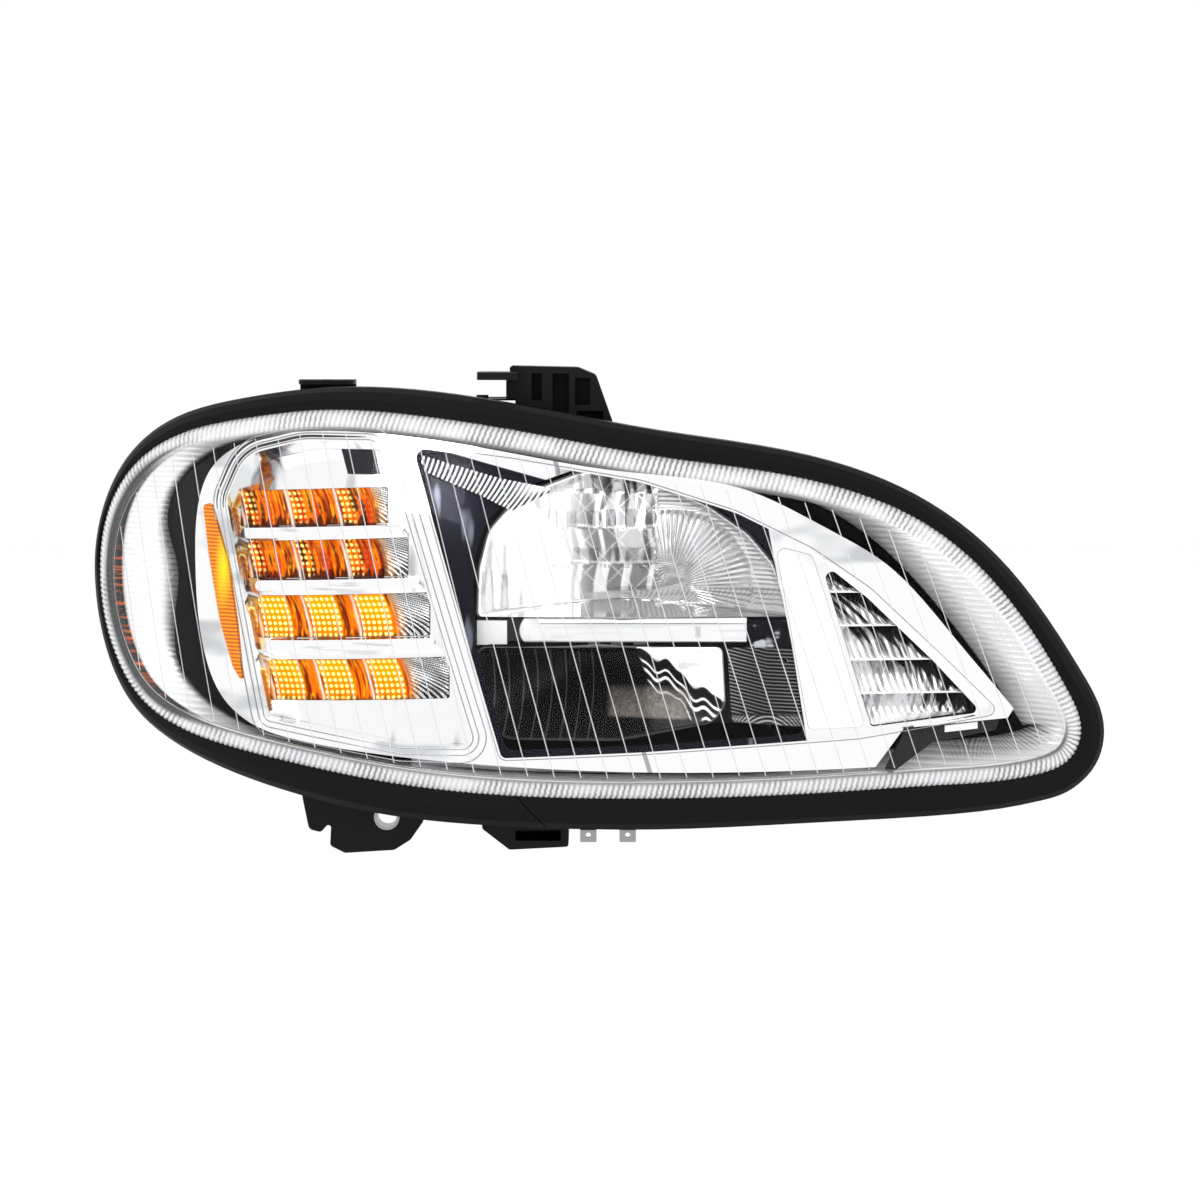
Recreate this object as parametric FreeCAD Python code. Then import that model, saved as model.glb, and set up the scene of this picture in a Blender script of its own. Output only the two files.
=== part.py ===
"""Truck headlight assembly: clear wrap-round lens on a black housing, chrome bezel, amber turn lamp,
side marker, low and high beam reflectors on a tilting aim frame, and a position lamp at the inner end.

Lamp coordinates are millimetres: X to the right seen from the front, Y to the rear, Z up.
Every solid is moved at export so that the row origin is the centre of the inner mounting tab's hole.
"""
import FreeCAD, Part
import math
import os

V = FreeCAD.Vector

# Depth of the lens face: height gives the rake, the outer end wraps back, the inner end sweeps back
FACE_Y = -60.0
RAKE = 0.25
FACE_BULGE_RADIUS = 600.0
OUTER_WRAP = 150.0
OUTER_WRAP_POWER = 2.6
INNER_SWEEP = 45.0
HALF_LENGTH = 332.0

# Lens outline seen from the front: x, z, width of the rubber surround there, inset of the silver skirt there
LENS_OUTLINE = [
    (-349, 13, 4.5, 58), (-341, 65, 5, 45), (-321, 93, 8, 34), (-288, 113, 11.5, 23), (-244, 124, 13, 14),
    (-188, 131, 14, 10), (-120, 128, 16, 10), (-40, 116, 16, 10), (38, 102, 16, 10), (110, 92, 15, 11),
    (165, 79, 14, 20), (209, 60, 13, 31), (248, 30, 13, 38), (281, -10, 13, 39), (306, -51, 14, 37),
    (315, -78, 15.5, 34), (308, -95, 17, 30), (283, -106, 17.5, 26), (220, -111, 19.5, 24), (140, -114.5, 19, 13),
    (37, -117, 20, 11), (-66, -115, 20, 11), (-144, -108, 21, 11), (-198, -100, 19.5, 11), (-247, -92, 15.5, 14),
    (-284, -83, 11, 24), (-315, -66, 8, 36), (-338, -33, 5.5, 49),
]
OUTLINE_CENTRE = (-20.0, 5.0)
RING_SAMPLES = 96

# Lens moulding
LENS_WALL = 3.0
ROLL_WIDTH = 14.0
ROLL_DEPTH = 16.0
LENS_FOOT_DEPTH = 37.0

# Housing groove, lip and shell, as offsets from the lens outline and depths behind the lens face
FIT_GAP = 0.4
LIP_WALL = 1.4
LIP_FRONT_DEPTH = 29.0
GROOVE_FLOOR_DEPTH = 40.0
GROOVE_INNER_OFFSET = -5.2
GROOVE_INNER_WALL = 1.6
RIM_BACK_DEPTH = 44.0
SHELL_OFFSET = -4.6
SHELL_STRAIGHT_DEPTH = 64.0
SHELL_STRAIGHT_LOSS = 0.29
HOUSING_WALL = 2.8
BACK_Y = 150.0
SHELL_TAPER = [(0.9, 0.45), (0.74, 0.86)]
BACK_SCALE = 0.62

# Rubber surround
SURROUND_FRONT_DEPTH = 11.0
SURROUND_BACK_DEPTH = 41.0
SURROUND_LIP_GAP = 0.3
SURROUND_ROUND = 5.0
SURROUND_JOINT_X = -46.0
SURROUND_JOINT_GAP = 0.6
SURROUND_JOINT_LEAN = 44.0

# Bezel and the trims on it, as depths behind the lens face
BEZEL_DEPTH = 22.0
BEZEL_WALL = 2.5
BEZEL_RETURN = 13.0
MASK_DEPTH = 33.0
MASK_WALL = 2.0
BEAM_RIM_DEPTH = 42.0
SKIRT_FRONT_DEPTH = 31.0
SKIRT_BACK_DEPTH = 52.0
SKIRT_WALL = 1.6

# Bezel outline and openings as spline runs and straight runs joined end to end
BEZEL_RUNS = [
    [(178, -99), (102, -101), (12, -100.5), (-66, -97), (-131, -92.5), (-199, -85), (-231, -77), (-253, -61),
     (-267, -32), (-275, 29), (-274, 65), (-265, 90), (-245, 106), (-202, 116), (-134, 114.5), (-67, 105),
     (12, 92), (94, 80), (147, 55), (187, 31), (213, 5), (238, -25), (261, -52), (270, -63)],
    [(270, -63), (266, -69)],
    [(266, -69), (197, -74)],
    [(197, -74), (178, -99)],
]
TURN_OPENING = [(-253, 70, 16), (-240, 100, 26), (-200, 110, 60), (-150, 110, 12), (-141, 97, 10),
                (-83, -85, 6), (-131, -85, 20), (-222, -72, 4)]
MAIN_OPENING = [(-125, 107, 6), (-60, 99, 60), (25, 85, 60), (88, 65, 60), (137, 41, 60), (175, 15, 60),
                (221, -28, 60), (259, -65, 3), (168, -79, 30), (25, -88, 60), (-65, -92, 4)]
BEAM_WINDOW = [(-82, -22, 8), (-85, 30, 30), (-77, 57, 20), (-57, 79, 20), (-11, 95, 30), (35, 88, 40),
               (73, 70, 30), (99, 51, 25), (111, 37, 12), (118, 10, 20), (124, -20, 20), (133, -78, 6),
               (25, -85, 60), (-62, -88, 6)]

# Low and high beam reflectors: front rim outlines and apex points
LOW_RIM = [(-81, -3, 3), (-80, 28, 30), (-74, 52, 22), (-55, 74, 22), (-11, 91, 30), (32, 85, 40),
           (70, 68, 30), (96, 50, 25), (112, 31, 20), (122, 10, 14), (124, -3, 3)]
HIGH_RIM = [(-82, -23, 6), (-68, -81, 16), (10, -81, 40), (70, -71, 12), (79, -60, 8), (77, -23, 4)]
LOW_APEX = (14.0, 40.0, 5.0)
HIGH_APEX = (-2.0, 40.0, -33.0)
BEAM_PANEL = [(82, -23, 2), (126, -23, 2), (132, -75, 3), (85, -71, 3)]
BEAM_PANEL_DEPTH = 43.8
BEAM_PANEL_BACK_DEPTH = 54.0
BEAM_PANEL_WALL = 2.5
REFLECTOR_WALL = 2.2
REFLECTOR_STEPS = [1.0, 0.85, 0.68, 0.5, 0.3]
RIM_SAMPLES = 72
LIGHT_HOLE_X = (-14.0, 34.0)
LIGHT_HOLE_Y = (4.0, 22.0)

# Lamp shelf between the beams
SHELF_TOP = -5.6
SHELF_BOTTOM = -20.0
SHELF_LEFT = -62.0
SHELF_RIGHT = 95.0
SHELF_FRONT_Y = -12.0
TRIM_WALL = 4.0
TRIM_GAP = 0.2

# Aim frame, its pivot axis and its adjuster
FRAME_Y = 42.6
FRAME_WALL = 5.4
SEAT_GAP = 0.1
FRAME_OUTLINE = [(-108, -28, 4), (-108, 64, 8), (-60, 76, 8), (58, 76, 8), (112, 40, 8), (152, 20, 8),
                 (152, -70, 6), (90, -80, 6), (-60, -80, 6), (-68, -62, 4), (-68, -34, 4)]
PIVOT_Y = 56.0
PIVOT_Z = -8.0
PIVOT_XS = (-94.0, 138.0)
BALL_RADIUS = 5.0
BALL_GAP = 0.08
SOCKET_RADIUS = 8.5
SOCKET_LIP = 2.5
PIVOT_BOSS_Y = 95.0
PIVOT_BOSS_RADIUS = 8.0
STUD_THREAD_RADIUS = 3.9
AIM_X = 20.0
AIM_Z = 58.0
AIM_ROD_RADIUS = 3.0
AIM_ROD_END_Y = 172.0
GEAR_RADIUS = 12.0
GEAR_TEETH = 24
GEAR_Y0, GEAR_Y1 = 155.0, 163.0
PINION_RADIUS = 5.0
GEAR_MESH_GAP = 0.3
PINION_TEETH = 12
PINION_Y = GEAR_Y1 + GEAR_MESH_GAP + PINION_RADIUS
PINION_TOP = 71.0
DRIVE_SHAFT_RADIUS = 3.0
GEAR_CASE_END_Y = 178.0
REFLECTOR_SEATS = [(-55.0, 45.0), (50.0, 45.0), (92.0, 12.0), (-60.0, 12.0), (-50.0, -55.0), (50.0, -50.0)]
HEAT_SINK_X = (-45.0, 77.0)
HEAT_SINK_Z = (-60.0, 40.0)
HEAT_SINK_PITCH = 8.0
HEAT_SINK_END_Y = 76.0

# Rear face fittings
CAP_X, CAP_Z = 20.0, -22.0
CAP_OPENING_RADIUS = 36.0
CAP_FLANGE_RADIUS = 45.0
CAP_LUG_COUNT = 3
CAP_LUG_REACH = 3.0
CAP_LUG_HALF_ANGLE = 9.0
CAP_TURN_ANGLE = 30.0
SIGNAL_X, SIGNAL_Z = -150.0, 34.0
SIGNAL_OPENING_RADIUS = 14.0
SIGNAL_FLANGE_RADIUS = 20.0
SIGNAL_LUG_COUNT = 2
SIGNAL_TURN_ANGLE = 45.0
SIGNAL_LUG_REACH = 2.5
SIGNAL_LUG_HALF_ANGLE = 11.0
SEAL_HEIGHT = 2.0
FLANGE_WALL = 5.0
CONNECTOR_X, CONNECTOR_Z = 112.0, -40.0
CONNECTOR_WIDTH, CONNECTOR_HEIGHT, CONNECTOR_LENGTH = 30.0, 17.0, 24.0
CONNECTOR_WALL = 2.0
CONNECTOR_NECK = (11.0, 5.0)
VENTS = [(82.0, 38.0), (-178.0, -20.0)]
VENT_RADIUS = 8.0
VENT_STEM_RADIUS = 3.0
DRIVER_X = (-110.0, -40.0)
DRIVER_Z = (-52.0, -10.0)

# Bezel posts and the housing bosses that meet them
BEZEL_POSTS = [(-120.4, 60.0), (-85.7, -50.0), (142.0, 48.0), (120.0, -90.0)]
POST_RADIUS = 4.5
POST_END_Y = 68.0
BOSS_RADIUS = 7.0
BOSS_RECESS_RADIUS = 5.2
BOSS_FLOOR = 4.0
SCREW_RADIUS = 2.2

# Turn lamp rows, top to bottom: height of each row's middle, its left end and the right end of its flutes
TURN_ROWS = [(65.5, -245.0, -142.0, 24.0), (32.0, -239.0, -128.0, 25.0), (-5.0, -231.0, -113.0, 28.0),
             (-46.0, -222.0, -100.0, 27.0)]
TURN_ROW_SLOPE = 0.05
TURN_CELL_WIDTH = 22.0
TURN_CELL_PITCH = 34.0
TURN_CELL_MARGIN = 2.5
TURN_CELLS = 3
TURN_FRONT_DEPTH = 35.1
TURN_PLATE_DEPTH = 46.0
TURN_BACK_DEPTH = 62.0
TURN_WALL = 2.2
TURN_TRAY_GAP = 0.3
TURN_BOARD_DEPTH = 55.0
TURN_BARS = [(50.2, -243.0, -131.0), (16.2, -232.0, -120.0), (-22.5, -223.0, -110.0)]
TURN_BAR_DEPTH = 31.0
TURN_BAR_HEIGHT = 7.0
OPTIC_GAP = 0.25

MARKER_BACK_DEPTH = 33.0
SIDE_MARKER = [(-270, 65, 1.5), (-264, 67, 1.5), (-251, 29, 20), (-244, -10, 20), (-239, -50, 1),
               (-246, -40, 4), (-256, -10, 20), (-264, 28, 20)]

# Position lamp at the inner end
FIN_OUTLINE = [(114, 43, 5), (138, 37, 5), (172, -74, 4), (135, -75, 3)]
STEP_OUTLINE = [(143.5, 33, 4), (174, 9, 40), (217, -32, 40), (249, -66, 3), (176, -74, 3)]
STEP_COUNT = 5
STEP_HEIGHT = 22.0
STEP_TOP = 34.0
STEP_SHALLOW = 42.0
STEP_DEEP = 54.0
STEP_BACK = 58.0
STEP_RAKE = 0.217
STEP_SWEEP = 0.16
PANEL_FLANGE = 1.2
FLUTE_OUTLINE = [(-121, 102, 2), (-67, 87, 30), (-30, 80, 1.5), (-59, 66, 2), (-80, 76, 20), (-117, 91, 2)]
EDGE_STRIP = [(201, -70, 1), (262, -66, 1), (258, -77, 2), (216, -84, 6), (188, -104, 1.5), (184.5, -101, 1.5)]
EDGE_STRIP_GAP = 0.3
EDGE_STRIP_THICKNESS = 4.0

# Mounting brackets
INNER_TAB = (-73.0, 35.0, 156.0)
TAB_HOLE_RADIUS = 3.5
TAB_THICKNESS = 5.0
OUTER_TAB = (-186.0, 72.0, 150.0)
PIVOT_BORE = (-144.0, 20.0, -141.0)
PIVOT_BORE_RADIUS = 6.5
BUSH_OUTER_RADIUS = 8.5
LOCATOR_X = (-74.0, -22.0)
LOCATOR_Y = (-18.0, 26.0)
LOCATOR_Z = -156.0
LOCATOR_SLOT_X = (-57.0, -27.0)
LOCATOR_SLOT_Z = (-151.0, -144.0)
U_NUT_XS = (-9.0, 17.0)
U_NUT_Y = -8.0
U_NUT_BOTTOM = -153.0
U_NUT_HOLE_HEIGHT = 4.5
U_NUT_HOLE_RADIUS = 1.8
UPPER_OUTLINE = [(-62, 160, 2), (-16, 159, 3), (-4, 154, 4), (7, 123, 6), (9, 90, 3), (-56, 90, 3), (-58, 138, 3)]
UPPER_Y = (40.0, 66.0)
UPPER_POCKETS = [((-47, -40), (137, 155)), ((-33, -22), (126, 155)), ((-18, -8), (134, 152)),
                 ((-46, -38), (118, 132)), ((-17, 1), (118, 130))]
STUD_Y = 46.0
STUD_Z = 138.0
STUD_PIN_RADIUS = 1.3
HOOK_OUTLINE = [(-206, -85, 4), (-200, -129, 6), (-196, -149, 4), (-188, -151, 3), (-181, -143, 3), (-182, -160, 3),
                (-172, -165, 4), (-139, -163, 6), (-128, -156, 5), (-119, -143, 6), (-124, -85, 4)]
HOOK_Y = (20.0, 32.0)

ORIGIN = V(*INNER_TAB)


def face_depth(x, z):
    """Lens face: rake times height, a shallow bulge, and a power curve towards each end."""
    sweep = OUTER_WRAP * (abs(x) / HALF_LENGTH) ** OUTER_WRAP_POWER if x < 0 else INNER_SWEEP * (x / HALF_LENGTH) ** 2
    return FACE_Y + RAKE * z + z * z / (2 * FACE_BULGE_RADIUS) + sweep


def chord_knots(points):
    knots = [0.0]
    for a, b in zip(points, points[1:] + points[:1]):
        knots.append(knots[-1] + (b - a).Length)
    return knots


def sampled_outline():
    """The outline spline at even steps: each sample is a point, its outward normal, surround width and skirt inset."""
    points = [V(x, 0, z) for x, z, w, i in LENS_OUTLINE]
    knots = chord_knots(points)
    shape = Part.BSplineCurve()
    shape.interpolate(Points=points, PeriodicFlag=True, Parameters=knots)
    widths = Part.BSplineCurve()
    widths.interpolate(Points=[V(w, x, i) for x, z, w, i in LENS_OUTLINE], PeriodicFlag=True, Parameters=knots)
    samples = []
    for n in range(RING_SAMPLES):
        u = knots[-1] * n / RING_SAMPLES
        tangent = shape.tangent(u)[0]
        extra = widths.value(u)
        samples.append((shape.value(u), V(-tangent.z, 0, tangent.x), extra.x, extra.z))
    return samples


SAMPLES = sampled_outline()


def closed_wire(points):
    curve = Part.BSplineCurve()
    curve.interpolate(Points=points, PeriodicFlag=True, Parameters=[float(n) for n in range(len(points) + 1)])
    return Part.Wire(curve.toShape())


def ring(offset=0.0, depth=0.0, scale=1.0, flat_share=0.0, flat_y=0.0):
    """A closed wire round the lamp: the outline offset along its normal, shrunk about the centre, laid at a depth
    behind the lens face, and blended towards a flat plane. An offset or a depth can depend on the surround's
    width and the skirt's inset there."""
    points = []
    for point, normal, width, inset in SAMPLES:
        reach = offset(width, inset) if callable(offset) else offset
        behind = depth(width, inset) if callable(depth) else depth
        p = point + normal * reach
        x = OUTLINE_CENTRE[0] + (p.x - OUTLINE_CENTRE[0]) * scale
        z = OUTLINE_CENTRE[1] + (p.z - OUTLINE_CENTRE[1]) * scale
        y = (face_depth(x, z) + behind) * (1 - flat_share) + flat_y * flat_share
        points.append(V(x, y, z))
    return closed_wire(points)


def solid_from(faces):
    shape = Part.makeCompound(faces)
    shape.sewShape()
    solid = Part.makeSolid(shape.Shells[0])
    if solid.Volume < 0:
        solid.reverse()
    return solid


def band(wires):
    """Ruled faces from each closed wire to the next."""
    faces = []
    for a, b in zip(wires, wires[1:]):
        faces += Part.makeLoft([a, b], False, True).Faces
    return faces


def ring_solid(wires):
    """A solid ring whose section has one corner on each wire."""
    return solid_from(band(wires + wires[:1]))


def rounded_edges(outline, y=0.0):
    """Straight runs between the outline's corners, each corner rounded by its own tangent arc."""
    corners = [V(x, y, z) for x, z, r in outline]
    radii = [r for x, z, r in outline]
    count = len(corners)
    trims = []
    for i in range(count):
        a = (corners[i - 1] - corners[i])
        b = (corners[(i + 1) % count] - corners[i])
        half = a.getAngle(b) / 2
        trim = min(radii[i] / math.tan(half), 0.48 * a.Length, 0.48 * b.Length)
        start = corners[i] + a.normalize() * trim
        end = corners[i] + b.normalize() * trim
        radius = trim * math.tan(half)
        bisector = (a + b).normalize()
        middle = corners[i] + bisector * (radius / math.sin(half) - radius)
        trims.append((start, middle, end))
    edges = []
    for i in range(count):
        start, middle, end = trims[i]
        edges.append(Part.Arc(start, middle, end).toShape())
        edges.append(Part.LineSegment(end, trims[(i + 1) % count][0]).toShape())
    return edges


def rounded_wire(outline, grow=0.0, y=-200.0):
    wire = Part.Wire(rounded_edges(outline, y))
    return wire.makeOffset2D(grow) if grow else wire


def run_wire(runs, y=-200.0):
    edges = []
    for run in runs:
        points = [V(x, y, z) for x, z in run]
        if len(points) == 2:
            edges.append(Part.LineSegment(*points).toShape())
        else:
            curve = Part.BSplineCurve()
            curve.interpolate(points)
            edges.append(curve.toShape())
    return Part.Wire(edges)


def prism(wire, length=500.0):
    return Part.Face(wire).extrude(V(0, length, 0))


def slab(front, back):
    """Everything between two depths behind the lens face."""
    xs = [-380 + 380 * n / 9 for n in range(19)]
    zs = [-175 + 350 * n / 8 for n in range(9)]
    surface = Part.BSplineSurface()
    surface.interpolate([[V(x, face_depth(x, z) + front, z) for z in zs] for x in xs])
    return surface.toShape().extrude(V(0, back - front, 0))


def box(x, y, z):
    return Part.makeBox(x[1] - x[0], y[1] - y[0], z[1] - z[0], V(x[0], y[0], z[0]))


def rod(x, z, y0, y1, radius):
    return Part.makeCylinder(radius, y1 - y0, V(x, y0, z), V(0, 1, 0))


def post(x, y, z0, z1, radius):
    return Part.makeCylinder(radius, z1 - z0, V(x, y, z0), V(0, 0, 1))


def sector(x, z, y0, y1, radius, angle, half_angle):
    """A wedge of a disc about Y, centred on an angle measured from +X towards +Z."""
    centre = V(x, y0, z)

    def at(a):
        return centre + V(math.cos(math.radians(a)), 0, math.sin(math.radians(a))) * radius
    first, middle, last = at(angle - half_angle), at(angle), at(angle + half_angle)
    edges = [Part.LineSegment(centre, first).toShape(), Part.Arc(first, middle, last).toShape(),
             Part.LineSegment(last, centre).toShape()]
    return Part.Face(Part.Wire(edges)).extrude(V(0, y1 - y0, 0))


def fuse(shapes):
    result = shapes[0]
    for shape in shapes[1:]:
        result = result.fuse(shape)
    return result.removeSplitter()


SHAPES = {}


def keep(name, shape):
    SHAPES[name] = shape


def face_cap(outer_offset, depth):
    """The lens face inside its roll: a smooth loft from a point at the centre out to the roll."""
    centre = V(OUTLINE_CENTRE[0], face_depth(*OUTLINE_CENTRE) + depth, OUTLINE_CENTRE[1])
    wires = [ring(outer_offset, depth, k) for k in (0.15, 0.35, 0.55, 0.75, 0.9)]
    edge = ring(outer_offset, depth)
    return Part.makeLoft([Part.Vertex(centre)] + wires + [edge], False, False).Faces, edge


def roll(start_offset, start_depth, end_offset, end_depth, start_wire):
    """A quarter ellipse from the lens face round to its side wall."""
    wires = [start_wire]
    for angle in (22.5, 45.0, 67.5, 90.0):
        a = math.radians(angle)
        wires.append(ring(start_offset + (end_offset - start_offset) * math.sin(a),
                          start_depth + (end_depth - start_depth) * (1 - math.cos(a))))
    return band(wires), wires[-1]


def make_lens():
    outer_faces, outer_edge = face_cap(-ROLL_WIDTH, 0.0)
    outer_roll, outer_wall = roll(-ROLL_WIDTH, 0.0, 0.0, ROLL_DEPTH, outer_edge)
    inner_faces, inner_edge = face_cap(-ROLL_WIDTH, LENS_WALL)
    inner_roll, inner_wall = roll(-ROLL_WIDTH, LENS_WALL, -LENS_WALL, ROLL_DEPTH, inner_edge)
    outer_foot = ring(0.0, LENS_FOOT_DEPTH)
    inner_foot = ring(-LENS_WALL, LENS_FOOT_DEPTH)
    keep("outer_lens", solid_from(outer_faces + outer_roll + inner_faces + inner_roll
                                  + band([outer_wall, outer_foot, inner_foot, inner_wall])))


def make_sealant():
    front = LENS_FOOT_DEPTH + 0.1
    back = GROOVE_FLOOR_DEPTH - 0.1
    keep("lens_sealant", ring_solid([ring(0.2, front), ring(0.2, back),
                                     ring(GROOVE_INNER_OFFSET + 0.2, back), ring(GROOVE_INNER_OFFSET + 0.2, front)]))


def make_surround():
    lip = LIP_WALL + FIT_GAP + SURROUND_LIP_GAP

    def outer(share, step=0.0):
        return lambda width, inset: width * share - step
    section = [
        ring(SURROUND_LIP_GAP, SURROUND_FRONT_DEPTH + 2),
        ring(outer(0.45), SURROUND_FRONT_DEPTH),
        ring(outer(0.8), SURROUND_FRONT_DEPTH + 1.5),
        ring(outer(1.0), SURROUND_FRONT_DEPTH + SURROUND_ROUND),
        ring(outer(1.0), SURROUND_BACK_DEPTH - 4),
        ring(outer(1.0, 1.5), SURROUND_BACK_DEPTH),
        ring(lip, SURROUND_BACK_DEPTH),
        ring(lip, LIP_FRONT_DEPTH - SURROUND_LIP_GAP),
        ring(SURROUND_LIP_GAP, LIP_FRONT_DEPTH - SURROUND_LIP_GAP),
    ]
    rubber = ring_solid(section)
    joint = box((-SURROUND_JOINT_GAP / 2, SURROUND_JOINT_GAP / 2), (-200, 100), (-26, 26))
    joint.rotate(V(0, 0, 0), V(0, 1, 0), -SURROUND_JOINT_LEAN)
    joint.translate(V(SURROUND_JOINT_X, 0, -125))
    keep("rubber_surround", rubber.cut(joint))


def shell_wires(wall):
    """The housing behind its rim: straight back, then tapering to the flat rear face."""
    def straight(width, inset):
        return SHELL_STRAIGHT_DEPTH - SHELL_STRAIGHT_LOSS * inset
    wires = [ring(SHELL_OFFSET - wall, RIM_BACK_DEPTH + 2 - wall), ring(SHELL_OFFSET - wall, straight)]
    for scale, share in SHELL_TAPER:
        wires.append(ring(-wall, straight, scale, share, BACK_Y - wall))
    wires.append(ring(-wall, 0.0, BACK_SCALE, 1.0, BACK_Y - wall))
    return wires


def solid_shell(wall=0.0):
    """The outside, or with a wall the inside, of the housing behind its rim as one full block."""
    wires = shell_wires(wall)
    front = ring(SHELL_OFFSET - wall, RIM_BACK_DEPTH - 4)
    flat = [V(v.x, -90.0, v.z) for v in front.discretize(RING_SAMPLES)[:-1]]
    plane = closed_wire(flat)
    return solid_from([Part.Face(plane)] + band([plane] + wires) + [Part.Face(wires[-1])])


def lug_sectors(x, z, y0, y1, radius, count, start, half_angle):
    return [sector(x, z, y0, y1, radius, start + 360.0 / count * n, half_angle) for n in range(count)]


def make_housing():
    lip_outer = LIP_WALL + FIT_GAP
    inner = GROOVE_INNER_OFFSET - GROOVE_INNER_WALL
    rim = [
        ring(lip_outer, RIM_BACK_DEPTH), ring(lip_outer, LIP_FRONT_DEPTH), ring(FIT_GAP, LIP_FRONT_DEPTH),
        ring(FIT_GAP, GROOVE_FLOOR_DEPTH), ring(GROOVE_INNER_OFFSET, GROOVE_FLOOR_DEPTH),
        ring(GROOVE_INNER_OFFSET, LIP_FRONT_DEPTH + 1), ring(inner, LIP_FRONT_DEPTH + 1),
    ]
    outside = [rim[0]] + shell_wires(0.0)
    inside = [rim[-1]] + shell_wires(HOUSING_WALL)
    faces = band(rim) + band(outside) + band(inside) + [Part.Face(outside[-1]), Part.Face(inside[-1])]
    housing = solid_from(faces)
    block = solid_shell()
    inside_block = solid_shell(HOUSING_WALL)
    additions = []
    holes = []
    for x, z in BEZEL_POSTS:
        additions.append(rod(x, z, POST_END_Y, BACK_Y - 1, BOSS_RADIUS).common(block))
        holes.append(rod(x, z, POST_END_Y + BOSS_FLOOR, BACK_Y + 1, BOSS_RECESS_RADIUS))
        holes.append(rod(x, z, POST_END_Y - 1, BACK_Y, SCREW_RADIUS + 0.1))
    for x in PIVOT_XS:
        additions.append(rod(x, PIVOT_Z, PIVOT_BOSS_Y, BACK_Y - 1, PIVOT_BOSS_RADIUS))
        holes.append(rod(x, PIVOT_Z, PIVOT_BOSS_Y - 5, BACK_Y - HOUSING_WALL, STUD_THREAD_RADIUS + 0.1))
    inside_y = BACK_Y - 2 * HOUSING_WALL
    holes.append(rod(CAP_X, CAP_Z, inside_y, BACK_Y + 1, CAP_OPENING_RADIUS))
    holes += lug_sectors(CAP_X, CAP_Z, inside_y, BACK_Y + 1, CAP_OPENING_RADIUS + CAP_LUG_REACH + 0.5,
                         CAP_LUG_COUNT, 90 + CAP_TURN_ANGLE, CAP_LUG_HALF_ANGLE + 2)
    holes.append(rod(SIGNAL_X, SIGNAL_Z, inside_y, BACK_Y + 1, SIGNAL_OPENING_RADIUS))
    holes += lug_sectors(SIGNAL_X, SIGNAL_Z, inside_y, BACK_Y + 1, SIGNAL_OPENING_RADIUS + SIGNAL_LUG_REACH + 0.4,
                         SIGNAL_LUG_COUNT, SIGNAL_TURN_ANGLE, SIGNAL_LUG_HALF_ANGLE + 3)
    holes.append(rod(AIM_X, AIM_Z, inside_y, BACK_Y + 1, AIM_ROD_RADIUS + 3.0))
    for x, z in VENTS:
        holes.append(rod(x, z, inside_y, BACK_Y + 1, VENT_STEM_RADIUS + 0.1))
    half_x, half_z = CONNECTOR_NECK
    holes.append(box((CONNECTOR_X - half_x - 0.2, CONNECTOR_X + half_x + 0.2), (inside_y, BACK_Y + 1),
                     (CONNECTOR_Z - half_z - 0.2, CONNECTOR_Z + half_z + 0.2)))
    for x in U_NUT_XS:
        tab = box((x - 5, x + 5), (U_NUT_Y - 1.5, U_NUT_Y + 1.5), (U_NUT_BOTTOM + 1.5, -100))
        additions.append(tab.cut(inside_block))
        holes.append(rod(x, U_NUT_BOTTOM + U_NUT_HOLE_HEIGHT, U_NUT_Y - 2, U_NUT_Y + 2, U_NUT_HOLE_RADIUS))
    housing = fuse([housing] + additions)
    keep("rear_housing", housing.cut(Part.makeCompound(holes)))


def make_u_nuts():
    clips = []
    for x in U_NUT_XS:
        clip = box((x - 5.4, x + 5.4), (U_NUT_Y - 2.6, U_NUT_Y + 2.6), (U_NUT_BOTTOM, U_NUT_BOTTOM + 8))
        slot = box((x - 6, x + 6), (U_NUT_Y - 1.6, U_NUT_Y + 1.6), (U_NUT_BOTTOM + 1.4, U_NUT_BOTTOM + 9))
        clips.append(clip.cut(slot).cut(rod(x, U_NUT_BOTTOM + U_NUT_HOLE_HEIGHT, U_NUT_Y - 4, U_NUT_Y + 4, U_NUT_HOLE_RADIUS)))
    keep("u_nuts", Part.makeCompound(clips))


def frame_round(outline, front, back, inner, outer):
    """A wall round an opening between two depths behind the lens face."""
    wall = prism(rounded_wire(outline, outer)).cut(prism(rounded_wire(outline, inner)))
    return wall.common(slab(front, back))


def inset_wire(wire, inset, count=80):
    """A smooth closed curve a little inside another."""
    points = wire.discretize(count + 1)[:-1]
    middle = V(0, 0, 0)
    for p in points:
        middle = middle + p * (1.0 / count)
    inner = []
    for n in range(count):
        run = points[(n + 1) % count] - points[n - 1]
        normal = V(-run.z, 0, run.x).normalize()
        side = 1 if normal.dot(middle - points[n]) > 0 else -1
        inner.append(points[n] + normal * (inset * side))
    return closed_wire(inner)


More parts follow.
